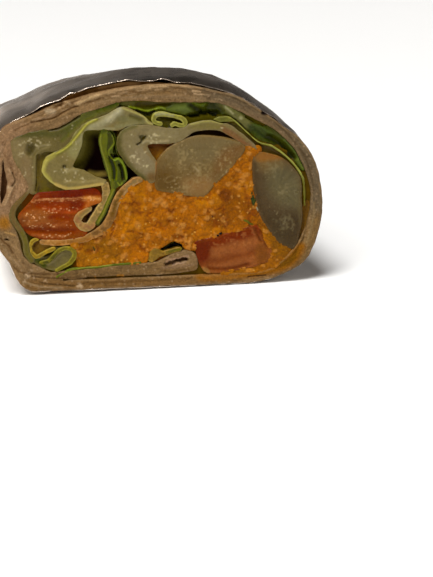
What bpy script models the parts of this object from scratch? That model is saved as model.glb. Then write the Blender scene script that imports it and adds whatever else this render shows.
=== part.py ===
"""Half of a lentil patty wrap in its foil, cut across and lying on its flat side.

The wrap is drawn once, as the flat section that shows at the cut: x runs across,
z runs up from the underside of the bread, and all sizes are in millimetres.
Every piece of the section is a smooth closed shape or a smooth strip, held as a
distance field on one fine grid. Pieces are taken in order, and each one gives
way to those before it by a small gap. The outline of each field is then swept
back along +Y, through the same stations for all pieces, so that the whole half
narrows to a rounded, closed end and no piece ever meets another.
"""
import math
import random

import bmesh
import bpy
import numpy as np
from mathutils import Matrix, Vector
from mathutils.geometry import delaunay_2d_cdt

MM = 0.001

# Driving dimensions, in millimetres
BODY_LENGTH = 104.0       # from the cut face to the closed end of the foil
GAP = 0.35                # clear space between neighbouring pieces
FOIL_THICKNESS = 0.5      # the crinkled foil with its folds, as one plain wall
FOIL_SETBACK = 2.0        # the foil's edge stands back from the cut
FOIL_LOOSENESS = 1.3      # how far the foil stands off the bread along the top
FOIL_LOOSE_HEIGHT = 42.0  # the foil starts to stand off above this height
FOIL_LOOSE_RISE = 14.0    # and stands off fully this much higher
FOIL_LOOSE_SIDE = 26.0    # right of this it lies close again
FOIL_LOOSE_WAY = 12.0     # and left of that it stands off fully this much further
CAVITY_AREA = 500.0       # a hole of the bread that is larger, in mm2, is its filled hollow
BREAD_END = 102.4         # where the bread's closed end stops
CAVITY_END = 95.0         # where the filled hollow of the bread stops
FILLING_END = 94.0        # where the fillings stop
SLIT_DEPTH = 22.0         # how far the open slits between bread layers run back
RECESS = 1.2              # how far the shaded inner leaves stand back from the cut
PATTY_RECESS = 0.6        # how far the patty's crumbly face stands back from the cut

# The taper of the half: the share of its width and height that is lost on the way
# back, as (loss, power) pairs of a slow narrowing and a quick rounding of the end
TAPER_STATIONS = 7
WIDTH_TAPER = ((0.20, 4.0), (0.20, 12.0))
HEIGHT_TAPER = ((0.40, 2.5), (0.26, 12.0))
LEAN_DEGREES = 5.0        # the cut isn't quite square: the body runs back and to the left

# Resolution of the drawing
CELL = 0.25
X_SPAN = (-50.0, 52.0)
Z_SPAN = (-2.5, 64.0)
FAR = 6.0
CURVE_STEP = 0.6
OUTLINE_TOLERANCE = 0.13
SMALLEST_HOLE = 0.6       # square millimetres; smaller openings are closed

GRID_X, GRID_Z = np.meshgrid(
    np.arange(X_SPAN[0], X_SPAN[1] + CELL, CELL),
    np.arange(Z_SPAN[0], Z_SPAN[1] + CELL, CELL),
)
LIFT = GAP + FOIL_THICKNESS

# --------------------------------------------------------------------------
# The section: control points of smooth curves, (x, z) in millimetres
# --------------------------------------------------------------------------
BREAD_OUTSIDE = [
    (-36.6, 1.2), (-40.3, 8.7), (-42.9, 12.5), (-44.9, 18.7), (-45.7, 26.8), (-45.1, 34.9),
    (-43.7, 41.2), (-41.6, 45.7), (-38.7, 48.2), (-33.0, 50.2), (-27.3, 52.7), (-21.6, 54.4),
    (-13.1, 56.4), (-5.0, 57.5), (3.8, 57.9), (14.9, 57.0), (20.5, 55.9), (26.0, 54.0),
    (31.5, 50.3), (36.9, 46.1), (42.3, 40.6), (46.2, 33.8), (47.7, 24.0), (46.9, 16.0),
    (43.2, 6.8), (38.0, 3.0), (31.0, 0.6), (18.0, -0.6), (0.0, -0.8), (-28.0, -0.6),
]
BREAD_INSIDE = [
    (-38.2, 44.0), (-38.7, 41.5), (-38.0, 38.0), (-36.0, 34.3), (-34.2, 30.0), (-36.3, 27.5),
    (-39.2, 24.6), (-40.0, 21.0), (-38.4, 17.4), (-37.3, 14.0), (-36.5, 10.0), (-34.5, 8.0),
    (-31.0, 6.0), (-28.5, 4.4), (-27.0, 3.0), (-22.0, 2.5), (-8.0, 2.5), (8.0, 2.4),
    (14.0, 2.5), (22.0, 2.4), (31.0, 3.0), (35.5, 5.2), (40.6, 10.5), (43.2, 15.0),
    (44.5, 20.0), (45.1, 25.0), (44.2, 30.0), (42.0, 36.0), (40.0, 39.2), (36.0, 43.5),
    (32.0, 46.0), (28.0, 48.3), (24.0, 50.5), (20.0, 52.2), (14.0, 52.7), (4.0, 53.1),
    (-2.0, 53.8), (-8.0, 53.7), (-12.0, 52.4), (-16.0, 51.4), (-20.0, 50.0), (-22.5, 48.2),
    (-26.0, 46.9), (-30.0, 46.3), (-34.0, 45.6),
]
BREAD_TONGUE = [(-29.5, 3.6), (-24.0, 4.1), (-16.0, 4.6), (-8.0, 4.9), (0.0, 5.0), (6.0, 5.0), (10.8, 5.3)]
TONGUE_WIDTHS = [2.4, 2.2, 2.6, 3.0, 3.4, 3.2, 2.6]
BREAD_FLAP = [(10.8, 6.0), (11.0, 7.6), (9.4, 8.8), (6.6, 8.6), (4.0, 7.5), (1.6, 6.4)]
FLAP_WIDTHS = [2.4, 2.0, 1.9, 1.7, 1.5, 1.3]
FLAP_SLIT = [(2.6, 6.35), (5.4, 6.85), (8.6, 7.15)]
SIDE_SLIT = [(-41.0, 38.4), (-41.0, 35.0), (-40.9, 31.5), (-41.3, 28.5), (-42.0, 25.4)]
SIDE_SLIT_WIDTHS = [0.5, 1.2, 2.3, 2.2, 0.6]
CURL_HOLE = [(-41.4, 15.3), (-40.3, 14.9)]

TOMATO_LEFT = [
    (-31.5, 28.0), (-25.0, 28.2), (-18.0, 28.6), (-15.3, 28.4), (-14.1, 26.8), (-14.3, 25.0),
    (-16.6, 24.3), (-21.0, 22.0), (-22.1, 20.0), (-20.6, 17.2), (-18.4, 16.2), (-20.0, 14.9),
    (-26.0, 14.3), (-32.0, 15.3), (-35.4, 17.3), (-37.3, 21.3), (-35.6, 23.5), (-33.0, 26.2),
]
TOMATO_RIGHT = [
    (12.0, 11.6), (12.3, 12.1), (20.0, 13.8), (28.0, 15.9), (29.6, 15.5), (31.8, 11.2),
    (33.2, 7.0), (30.6, 5.3), (23.0, 3.7), (15.5, 3.2), (13.2, 5.4), (12.2, 9.0),
]
CUCUMBER_MIDDLE = [
    (2.2, 35.5), (5.0, 39.0), (9.0, 41.3), (14.0, 42.6), (20.0, 42.0), (24.6, 40.7),
    (26.6, 39.4), (26.2, 37.6), (24.0, 35.0), (21.0, 31.5), (17.6, 28.5), (15.4, 25.8),
    (13.6, 25.2), (9.0, 26.3), (3.4, 27.4), (1.5, 28.3), (1.8, 32.0),
]
CUCUMBER_RIGHT = [
    (29.6, 36.6), (33.5, 36.6), (37.6, 34.8), (40.6, 31.6), (42.0, 28.6), (41.8, 23.0),
    (41.9, 18.0), (41.0, 13.5), (39.6, 9.4), (38.3, 9.5), (35.0, 11.4), (33.0, 14.5),
    (30.8, 18.5), (29.5, 23.0), (28.9, 30.0),
]
LEFT_RIB = [
    (-7.6, 54.2), (-12.0, 53.0), (-16.0, 52.0), (-20.0, 50.6), (-23.0, 48.4), (-26.0, 47.6),
    (-30.0, 47.0), (-34.0, 46.4), (-38.6, 44.6), (-39.6, 41.5), (-38.6, 38.0), (-36.4, 34.0),
    (-34.7, 30.0), (-33.4, 28.2), (-31.9, 28.6), (-31.4, 31.0), (-31.4, 36.0), (-31.0, 38.8),
    (-29.4, 40.3), (-26.2, 40.3), (-23.9, 41.2), (-22.2, 43.0), (-20.6, 45.4), (-18.0, 47.8),
    (-14.6, 49.5), (-11.0, 50.6), (-8.6, 52.2),
]
LEFT_RIB_HOLE = [(-33.2, 42.2), (-32.6, 41.2), (-32.9, 40.2)]
LEFT_RIB_TAIL = [
    (-34.6, 29.0), (-37.4, 25.9), (-38.9, 23.4), (-38.8, 20.6), (-36.6, 17.0), (-35.6, 14.0),
    (-35.4, 11.0), (-34.2, 8.9),
]
FOLDED_LEAF = [
    (-24.8, 40.3), (-28.7, 38.4), (-29.9, 35.6), (-29.9, 33.6), (-27.6, 31.1), (-24.8, 29.3),
    (-22.6, 28.9), (-16.0, 29.5), (-13.4, 29.9), (-12.4, 31.0), (-15.0, 31.8), (-18.5, 34.0),
    (-21.8, 35.2), (-20.4, 38.0), (-18.8, 42.0), (-18.6, 44.4), (-17.2, 45.9), (-12.0, 45.7),
    (-8.4, 45.4), (-5.6, 46.5), (-2.0, 46.9), (2.8, 46.3), (0.4, 47.4), (-0.5, 48.5),
    (-3.0, 50.2), (-6.4, 51.9), (-9.2, 51.2), (-11.6, 49.8), (-14.8, 48.7), (-17.2, 47.9),
    (-19.4, 46.3), (-21.4, 43.8), (-23.0, 41.6),
]
TOP_CURL = [
    (3.6, 46.7), (2.0, 47.1), (1.6, 48.2), (2.4, 49.4), (4.4, 49.5), (7.4, 48.8), (9.6, 48.0),
    (10.5, 46.7), (9.9, 45.9), (8.6, 46.0), (7.4, 46.7), (6.7, 46.1),
]
TOP_CURL_WIDTH = 0.8
PALE_HOOK = [
    (-12.9, 30.4), (-12.4, 27.4), (-13.4, 24.4), (-15.6, 21.0), (-17.4, 18.1), (-19.6, 17.8),
    (-21.0, 19.6), (-19.8, 21.6), (-17.4, 23.1),
]
PALE_HOOK_WIDTHS = [1.7, 1.6, 1.6, 1.8, 1.8, 1.8, 1.6, 1.4, 1.0]
PLEATED_LEAF = [
    (-12.6, 45.2), (-13.2, 42.6), (-12.6, 38.4), (-11.8, 34.6), (-10.9, 31.0), (-10.4, 28.4),
    (-12.0, 25.0), (-13.6, 21.6), (-15.4, 18.7),
]
PLEATED_WIDTHS = [1.0, 1.3, 1.2, 1.1, 0.9, 0.9, 0.9, 1.0, 0.9]
PLEAT_BACK = [(-12.0, 45.0), (-10.7, 44.0), (-10.2, 41.6), (-10.9, 39.8), (-10.3, 36.8), (-9.4, 33.2), (-9.3, 30.4)]
PLEAT_BACK_WIDTH = 0.8
PLEAT_LOOP = [(-9.6, 36.8), (-8.2, 36.6), (-7.2, 34.4), (-7.0, 32.0), (-7.8, 30.4), (-9.4, 29.6), (-10.5, 28.8)]
PLEAT_LOOP_WIDTH = 0.9
UNDER_STRIP = [
    (-2.2, 31.0), (-4.4, 30.4), (-7.6, 28.0), (-10.0, 24.4), (-11.4, 20.4), (-13.6, 17.2),
    (-17.0, 15.2), (-21.0, 14.0), (-26.0, 13.5), (-31.0, 14.0),
]
UNDER_STRIP_WIDTHS = [0.8, 1.1, 1.3, 1.4, 1.5, 1.7, 1.4, 1.0, 0.8, 0.7]
CENTRE_RIB = [
    (1.0, 46.2), (-4.0, 46.4), (-7.4, 45.0), (-8.9, 41.6), (-8.2, 38.6), (-6.4, 35.4), (-3.8, 32.6),
    (-1.4, 30.4), (0.2, 29.8), (1.5, 30.6), (1.9, 33.0), (1.9, 35.6), (0.6, 37.6), (-0.7, 40.4),
    (0.6, 41.2), (4.4, 41.0), (8.0, 41.4), (10.2, 42.4), (13.0, 44.2), (18.0, 44.5),
    (21.0, 43.7), (24.0, 41.7), (27.0, 39.6), (29.4, 38.2), (30.0, 38.7), (28.0, 40.9),
    (25.6, 43.2), (22.4, 45.7), (17.6, 46.9), (12.6, 46.3), (8.6, 45.0), (4.4, 45.3),
]
RIB_HOLES = [[(-2.2, 43.0), (-1.6, 42.6)], [(-3.1, 41.4), (-2.6, 41.1)]]
RIGHT_EDGE = [
    (18.4, 47.3), (20.4, 46.6), (23.0, 46.6), (24.2, 46.7), (27.0, 43.9), (29.4, 41.3), (31.6, 39.7),
    (34.4, 38.9), (37.6, 36.5), (40.4, 33.4), (42.5, 29.8), (43.0, 26.0), (42.9, 21.2),
]
RIGHT_EDGE_WIDTHS = [0.6, 0.7, 0.7, 0.8, 0.7, 0.7, 0.8, 1.0, 0.9, 1.0, 1.0, 0.9, 0.6]
EYELET = [(18.4, 47.3), (20.0, 47.9), (22.6, 47.9), (24.0, 46.9)]
EYELET_WIDTH = 0.6
TOP_LEAVES = [
    (-8.4, 52.9), (-7.4, 54.4), (-2.0, 54.6), (4.0, 54.0), (14.0, 53.6), (20.0, 53.2), (24.4, 51.4),
    (28.0, 49.4), (32.0, 47.0), (36.4, 44.2), (40.4, 40.2), (43.0, 36.4), (45.0, 30.0),
    (45.8, 25.0), (45.0, 22.6), (43.9, 22.4), (43.9, 27.0), (43.2, 30.2), (41.2, 33.4),
    (38.2, 36.8), (34.6, 39.6), (32.0, 40.2), (30.0, 41.8), (27.4, 44.4), (24.6, 47.4),
    (22.0, 48.7), (18.4, 48.2), (12.6, 47.4), (11.4, 48.6), (5.0, 50.4), (2.2, 50.3),
    (0.4, 49.2), (-1.4, 49.6), (-5.6, 52.0),
]
TOP_LEAF_SHADOWS = [
    ([(27.4, 47.6), (30.2, 45.9), (32.6, 44.9)], 1.1),
    ([(12.2, 47.6), (15.4, 48.2), (17.6, 48.5)], 1.0),
    ([(36.0, 38.8), (38.8, 36.8)], 1.0),
    ([(43.0, 31.4), (44.0, 28.6)], 0.6),
]
CORNER_HOOK = [
    (-32.2, 15.0), (-33.9, 14.2), (-34.5, 12.4), (-33.6, 10.4), (-32.4, 9.8), (-30.2, 11.0),
    (-27.8, 12.0),
]
CORNER_HOOK_WIDTH = 1.0
CORNER_LOOP = [
    (-31.6, 8.0), (-29.4, 8.4), (-26.9, 11.0), (-24.6, 12.0), (-22.6, 11.4), (-22.0, 9.8),
    (-23.4, 7.6), (-25.6, 6.6), (-27.4, 5.6),
]
CORNER_LOOP_WIDTHS = [1.0, 1.0, 1.0, 1.1, 1.2, 1.1, 1.2, 1.0, 0.9]
FLAP_LEAF = [(-0.6, 7.9), (0.6, 9.4), (2.6, 9.2), (4.4, 9.6), (7.6, 10.4)]
FLAP_LEAF_WIDTHS = [1.8, 2.6, 1.0, 0.9, 0.7]
PATTY = [
    (-32.0, 12.8), (-30.4, 14.2), (-26.0, 14.4), (-20.0, 14.8), (-15.0, 17.0), (-12.0, 20.0),
    (-10.4, 24.0), (-8.0, 28.0), (-4.4, 30.8), (-1.0, 30.8), (2.4, 31.0), (3.0, 36.0),
    (-1.2, 40.6), (2.0, 42.0), (7.0, 41.4), (14.0, 40.0), (22.0, 39.0), (28.4, 39.6),
    (31.0, 38.2), (29.0, 35.6), (29.6, 24.0), (32.0, 18.0), (35.4, 12.0), (40.0, 9.3),
    (39.0, 6.6), (35.0, 4.4), (31.0, 2.9), (22.0, 2.4), (13.6, 2.6), (12.6, 6.0), (12.0, 9.6),
    (9.2, 10.8), (8.6, 12.0), (6.0, 13.0), (3.6, 12.2), (1.4, 10.8), (-1.6, 10.4), (-2.4, 7.2),
    (-8.0, 6.9), (-14.0, 6.5), (-20.6, 6.3), (-21.0, 8.6), (-21.4, 11.0), (-23.4, 13.0), (-27.4, 13.2),
    (-30.6, 11.6),
]

# Pieces that stand out of the patty at the cut: (x, z), size across, kind of bit
LENTIL_DISC = ((20.7, 25.3), 1.9)
HERB_FLAKES = [((28.2, 24.0), (0.6, 1.9), 8.0), ((26.5, 17.5), (1.6, 0.5), -30.0), ((18.5, 13.9), (0.7, 0.35), 40.0)]
GRAIN_COUNT = 24
GRAIN_SIZE = (0.8, 1.4)
BIT_THICKNESS = 0.5       # half of how thick a bit is, from front to back
RELIEF_SPACING = 2.9      # crumbs of the patty's cut face
RELIEF_HEIGHT = 0.45
SEED = 11


# --------------------------------------------------------------------------
# Distance fields
# --------------------------------------------------------------------------
def smooth(points, closed):
    """Sample a Catmull-Rom curve through the points, evenly enough for the grid."""
    pts = np.array(points, dtype=float)
    count = len(pts)
    if closed:
        pts = np.vstack([pts[-1], pts, pts[0], pts[1]])
        spans = count
    else:
        pts = np.vstack([2 * pts[0] - pts[1], pts, 2 * pts[-1] - pts[-2]])
        spans = count - 1
    samples = []
    places = []
    for k in range(spans):
        p0, p1, p2, p3 = pts[k:k + 4]
        steps = max(2, math.ceil(np.linalg.norm(p2 - p1) / CURVE_STEP))
        for t in np.arange(steps) / steps:
            samples.append(0.5 * (
                2 * p1 + (p2 - p0) * t + (2 * p0 - 5 * p1 + 4 * p2 - p3) * t ** 2
                + (3 * p1 - p0 - 3 * p2 + p3) * t ** 3))
            places.append(k + t)
    if not closed:
        samples.append(pts[-2])
        places.append(float(spans))
    return np.array(samples), np.array(places)


def window(path, margin):
    """The block of the grid that lies within a margin of a path."""
    low = path.min(axis=0) - margin
    high = path.max(axis=0) + margin
    i0, i1 = np.clip([(low[0] - X_SPAN[0]) / CELL, (high[0] - X_SPAN[0]) / CELL + 2], 0, GRID_X.shape[1])
    k0, k1 = np.clip([(low[1] - Z_SPAN[0]) / CELL, (high[1] - Z_SPAN[0]) / CELL + 2], 0, GRID_X.shape[0])
    return slice(int(k0), int(k1)), slice(int(i0), int(i1))


def distance_to(path, block, closed, widths=None):
    """Distance to a path, less half of the width that the strip has there."""
    gx, gz = GRID_X[block], GRID_Z[block]
    best = np.full(gx.shape, 1e9)
    last = len(path) if closed else len(path) - 1
    for k in range(last):
        a, b = path[k], path[(k + 1) % len(path)]
        ab = b - a
        t = np.clip(((gx - a[0]) * ab[0] + (gz - a[1]) * ab[1]) / max(ab @ ab, 1e-9), 0, 1)
        d = np.hypot(gx - a[0] - t * ab[0], gz - a[1] - t * ab[1])
        if widths is not None:
            d = d - 0.5 * (widths[k] + t * (widths[k + 1] - widths[k]))
        best = np.minimum(best, d)
    return best


def blob(points):
    """A closed smooth shape: negative inside, positive outside."""
    path, _ = smooth(points, closed=True)
    block = window(path, FAR)
    gx, gz = GRID_X[block], GRID_Z[block]
    inside = np.zeros(gx.shape, dtype=bool)
    for a, b in zip(path, np.roll(path, -1, axis=0)):
        if a[1] != b[1]:
            crosses = (gz >= min(a[1], b[1])) & (gz < max(a[1], b[1]))
            inside ^= crosses & (gx < a[0] + (gz - a[1]) * (b[0] - a[0]) / (b[1] - a[1]))
    field = np.full(GRID_X.shape, FAR)
    field[block] = np.where(inside, -1, 1) * distance_to(path, block, closed=True)
    return field


def strip(points, width):
    """A smooth strip along the points, of one width or of one width at each point."""
    path, places = smooth(points, closed=False)
    widths = np.interp(places, range(len(points)), width) if np.ndim(width) else np.full(len(path), width)
    block = window(path, FAR)
    field = np.full(GRID_X.shape, FAR)
    field[block] = distance_to(path, block, closed=False, widths=widths)
    return field


def joined(*fields):
    return np.minimum.reduce(fields)


def without(field, *cuts):
    return np.maximum(field, -joined(*cuts))


def clear_of(field, taken):
    """Cut a field back until it is a gap away from all that is already there."""
    return np.maximum(field, GAP - taken)


# --------------------------------------------------------------------------
# Outlines of fields
# --------------------------------------------------------------------------
def crossing(field, a, b):
    """The point between two grid corners where the field is zero."""
    t = field[a] / (field[a] - field[b])
    return (
        GRID_X[a] + t * (GRID_X[b] - GRID_X[a]),
        GRID_Z[a] + t * (GRID_Z[b] - GRID_Z[a]),
    )


def outlines(field):
    """All closed outlines of the part where the field is negative, largest first."""
    field = np.where(np.abs(field) < 1e-6, 1e-6, field)
    inside = field < 0
    corners = inside[:-1, :-1].astype(int) + inside[:-1, 1:] + inside[1:, 1:] + inside[1:, :-1]
    follow = {}
    for k, i in zip(*np.nonzero((corners > 0) & (corners < 4))):
        ring = [(k, i), (k, i + 1), (k + 1, i + 1), (k + 1, i)]
        edges = [(min(a, b), max(a, b)) for a, b in zip(ring, ring[1:] + ring[:1])]
        leaves = [n for n in range(4) if inside[ring[n]] and not inside[ring[(n + 1) % 4]]]
        enters = [n for n in range(4) if inside[ring[(n + 1) % 4]] and not inside[ring[n]]]
        if len(leaves) == 2:
            # two inside corners across from each other: they are one piece if the middle is inside
            turn = 1 if np.mean([field[corner] for corner in ring]) < 0 else -1
            enters = [(n + turn) % 4 for n in leaves]
        for leave, enter in zip(leaves, enters):
            follow[edges[leave]] = edges[enter]
    loops = []
    while follow:
        start, step = follow.popitem()
        loop = [start]
        while step != start:
            loop.append(step)
            step = follow.pop(step)
        loops.append(np.array([crossing(field, a, b) for a, b in loop]))
    loops.sort(key=lambda loop: -abs(area(loop)))
    return loops


def area(loop):
    x, z = loop[:, 0], loop[:, 1]
    return 0.5 * float(np.sum(x * np.roll(z, -1) - z * np.roll(x, -1)))


def thin_out(points, tolerance):
    """Douglas-Peucker on an open run of points; keeps both ends."""
    keep = np.zeros(len(points), dtype=bool)
    keep[[0, -1]] = True
    runs = [(0, len(points) - 1)]
    while runs:
        first, last = runs.pop()
        if last - first < 2:
            continue
        a, b = points[first], points[last]
        ab = b - a
        length = max(np.hypot(*ab), 1e-9)
        between = points[first + 1:last] - a
        off = np.abs(ab[0] * between[:, 1] - ab[1] * between[:, 0]) / length
        worst = int(np.argmax(off))
        if off[worst] > tolerance:
            middle = first + 1 + worst
            keep[middle] = True
            runs += [(first, middle), (middle, last)]
    return points[keep]


def simple_outline(loop):
    """A loop with only the corners that it needs."""
    loop = np.roll(loop, -int(np.argmin(loop[:, 0])), axis=0)
    half = int(np.argmax(loop[:, 0]))
    first = thin_out(loop[:half + 1], OUTLINE_TOLERANCE)
    second = thin_out(np.vstack([loop[half:], loop[:1]]), OUTLINE_TOLERANCE)
    return np.vstack([first[:-1], second[:-1]])


def contains(loop, x, z):
    inside = False
    for (ax, az), (bx, bz) in zip(loop, np.roll(loop, -1, axis=0)):
        if (az > z) != (bz > z) and x < ax + (z - az) * (bx - ax) / (bz - az):
            inside = not inside
    return inside


def piece_outline(field):
    """The largest connected piece of a field: its outside and the holes within it."""
    loops = outlines(field)
    outside = loops[0]
    turn = math.copysign(1, area(outside))
    holes = [
        loop for loop in loops[1:]
        if area(loop) * turn < -SMALLEST_HOLE and contains(outside, *loop[0])
    ]
    return simple_outline(outside), [simple_outline(hole) for hole in holes]


# --------------------------------------------------------------------------
# Sweeping an outline back along the half
# --------------------------------------------------------------------------
STATION_Y = BODY_LENGTH * (1 - (1 - np.arange(TAPER_STATIONS + 1) / TAPER_STATIONS) ** 1.9)


def shrink(y, taper):
    """How much of its size at the cut the section still has, y millimetres back."""
    way = STATION_Y / BODY_LENGTH
    scales = 1 - sum(loss * way ** power for loss, power in taper)
    return float(np.interp(y, STATION_Y, scales))


def place(x, y, z):
    """A point of the section, set y millimetres back, in metres."""
    lean = y * math.tan(math.radians(LEAN_DEGREES))
    return Vector((
        (x * shrink(y, WIDTH_TAPER) - lean) * MM,
        y * MM,
        (z + LIFT) * shrink(y, HEIGHT_TAPER) * MM,
    ))


def depths(front, back):
    """The two ends of a sweep and every station between them."""
    margin = 0.5
    return [front] + [y for y in STATION_Y if front + margin < y < back - margin] + [back]


def cap(loops, spacing=None):
    """Triangles that fill an outline with holes, with a field of inner points if asked for."""
    points = [Vector(p) for loop in loops for p in loop]
    edges = []
    start = 0
    for loop in loops:
        edges += [(start + k, start + (k + 1) % len(loop)) for k in range(len(loop))]
        start += len(loop)
    if spacing:
        draw = random.Random(SEED)
        low, high = loops[0].min(axis=0), loops[0].max(axis=0)
        for row, z in enumerate(np.arange(low[1], high[1], spacing * 0.87)):
            for x in np.arange(low[0] + (row % 2) * spacing / 2, high[0], spacing):
                spot = (x + draw.uniform(-0.3, 0.3) * spacing, z + draw.uniform(-0.3, 0.3) * spacing)
                inside = contains(loops[0], *spot) and not any(contains(hole, *spot) for hole in loops[1:])
                near = min(np.min(np.hypot(*(loop - spot).T)) for loop in loops)
                if inside and near > 0.55 * spacing:
                    points.append(Vector(spot))
    verts, _, faces, _, _, _ = delaunay_2d_cdt(points, edges, [], 0, 1e-6)
    kept = []
    for face in faces:
        x, z = sum((verts[k] for k in face), Vector((0, 0))) / len(face)
        if contains(loops[0], x, z) and not any(contains(hole, x, z) for hole in loops[1:]):
            kept.append(face)
    return verts, kept


def sweep(name, field, material, front=0.0, back=FILLING_END, hole_back=None, relief=None):
    """One closed solid: the outline of a field swept from front to back.

    Holes go right through, unless hole_back says how deep each of them runs.
    """
    outside, holes = piece_outline(field)
    mesh = bmesh.new()
    made = {}

    def vertex(x, y, z):
        key = (round(x, 4), round(y, 4), round(z, 4))
        if key not in made:
            made[key] = mesh.verts.new(place(x, y, z))
        return made[key]

    def wall(loop, y_front, y_back):
        levels = depths(y_front, y_back)
        for near, far in zip(levels, levels[1:]):
            for a, b in zip(loop, np.roll(loop, -1, axis=0)):
                corners = [vertex(a[0], near, a[1]), vertex(b[0], near, b[1]),
                           vertex(b[0], far, b[1]), vertex(a[0], far, a[1])]
                mesh.faces.new(corners[:3])
                mesh.faces.new([corners[0], corners[2], corners[3]])

    def lid(loops, y, spacing=None):
        draw = random.Random(SEED + 1)
        verts, faces = cap(loops, spacing)
        rim = sum(len(loop) for loop in loops)
        corners = []
        for index, (x, z) in enumerate(verts):
            rise = draw.uniform(-RELIEF_HEIGHT, RELIEF_HEIGHT) if index >= rim else 0.0
            corners.append(vertex(x, y + rise, z) if rise else vertex(x, y, z))
        for face in faces:
            mesh.faces.new([corners[k] for k in face])

    wall(outside, front, back)
    through = []
    for hole in holes:
        deep = hole_back(hole) if hole_back else back
        wall(hole, front, deep)
        if deep < back:
            lid([hole], deep)
        else:
            through.append(hole)
    lid([outside] + holes, front, relief)
    lid([outside] + through, back)
    bmesh.ops.recalc_face_normals(mesh, faces=mesh.faces[:])
    return add_object(name, mesh, material)


def add_object(name, mesh, material):
    if mesh.calc_volume(signed=True) < 0:
        bmesh.ops.reverse_faces(mesh, faces=mesh.faces[:])
    data = bpy.data.meshes.new(name)
    mesh.to_mesh(data)
    mesh.free()
    item = bpy.data.objects.new(name, data)
    item.data.materials.append(material)
    bpy.context.scene.collection.objects.link(item)
    data.shade_smooth()
    data.set_sharp_from_angle(angle=math.radians(40))
    return item


# --------------------------------------------------------------------------
# Materials
# --------------------------------------------------------------------------
def finish(name, colour, roughness, metallic=0.0):
    material = bpy.data.materials.new(name)
    material.use_nodes = True
    shader = material.node_tree.nodes["Principled BSDF"]
    shader.inputs["Base Color"].default_value = (*colour, 1.0)
    shader.inputs["Roughness"].default_value = roughness
    shader.inputs["Metallic"].default_value = metallic
    return material


# --------------------------------------------------------------------------
# The pieces
# --------------------------------------------------------------------------
def bread_fields():
    """The flatbread's wall with its inner tongue, and the space that the wall encloses."""
    outside = np.maximum(blob(BREAD_OUTSIDE), -GRID_Z)
    tongue = joined(strip(BREAD_TONGUE, TONGUE_WIDTHS), strip(BREAD_FLAP, FLAP_WIDTHS))
    wall = joined(without(outside, blob(BREAD_INSIDE)), np.maximum(tongue, outside))
    slits = joined(
        strip(FLAP_SLIT, [0.3, 0.7, 0.9]),
        strip(SIDE_SLIT, SIDE_SLIT_WIDTHS),
        strip(CURL_HOLE, 0.9),
    )
    return outside, without(wall, slits)


def foil_field(bread_outside):
    """A wall of foil round the bread, close below and at the sides and loose on top."""
    high = np.clip((GRID_Z - FOIL_LOOSE_HEIGHT) / FOIL_LOOSE_RISE, 0, 1)
    left = np.clip((FOIL_LOOSE_SIDE - GRID_X) / FOIL_LOOSE_WAY, 0, 1)
    loose = FOIL_LOOSENESS * high * left
    middle = GAP + 0.5 * FOIL_THICKNESS + loose
    wall = np.abs(bread_outside - middle) - 0.5 * FOIL_THICKNESS
    return np.maximum(wall, -(GRID_Z + LIFT))


def leaf_fields():
    """Every lettuce leaf of the section, in the order in which they give way."""
    shadows = joined(*[strip(points, width) for points, width in TOP_LEAF_SHADOWS])
    return [
        ("leaf_right_edge", joined(strip(RIGHT_EDGE, RIGHT_EDGE_WIDTHS), strip(EYELET, EYELET_WIDTH))),
        ("leaf_top_curl", strip(TOP_CURL, TOP_CURL_WIDTH)),
        ("leaf_centre_rib", without(blob(CENTRE_RIB), *[strip(hole, 0.9) for hole in RIB_HOLES])),
        ("leaf_pleated", joined(strip(PLEATED_LEAF, PLEATED_WIDTHS), strip(PLEAT_BACK, PLEAT_BACK_WIDTH),
                                strip(PLEAT_LOOP, PLEAT_LOOP_WIDTH))),
        ("leaf_folded", blob(FOLDED_LEAF)),
        ("leaf_left_rib", joined(without(blob(LEFT_RIB), strip(LEFT_RIB_HOLE, 1.2)), strip(LEFT_RIB_TAIL, 1.1))),
        ("leaf_hook", strip(PALE_HOOK, PALE_HOOK_WIDTHS)),
        ("leaf_under_strip", strip(UNDER_STRIP, UNDER_STRIP_WIDTHS)),
        ("leaf_corner_hook", strip(CORNER_HOOK, CORNER_HOOK_WIDTH)),
        ("leaf_corner_loop", strip(CORNER_LOOP, CORNER_LOOP_WIDTHS)),
        ("leaf_by_flap", strip(FLAP_LEAF, FLAP_LEAF_WIDTHS)),
        ("leaf_top_shade", without(blob(TOP_LEAVES), shadows)),
    ]


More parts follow.
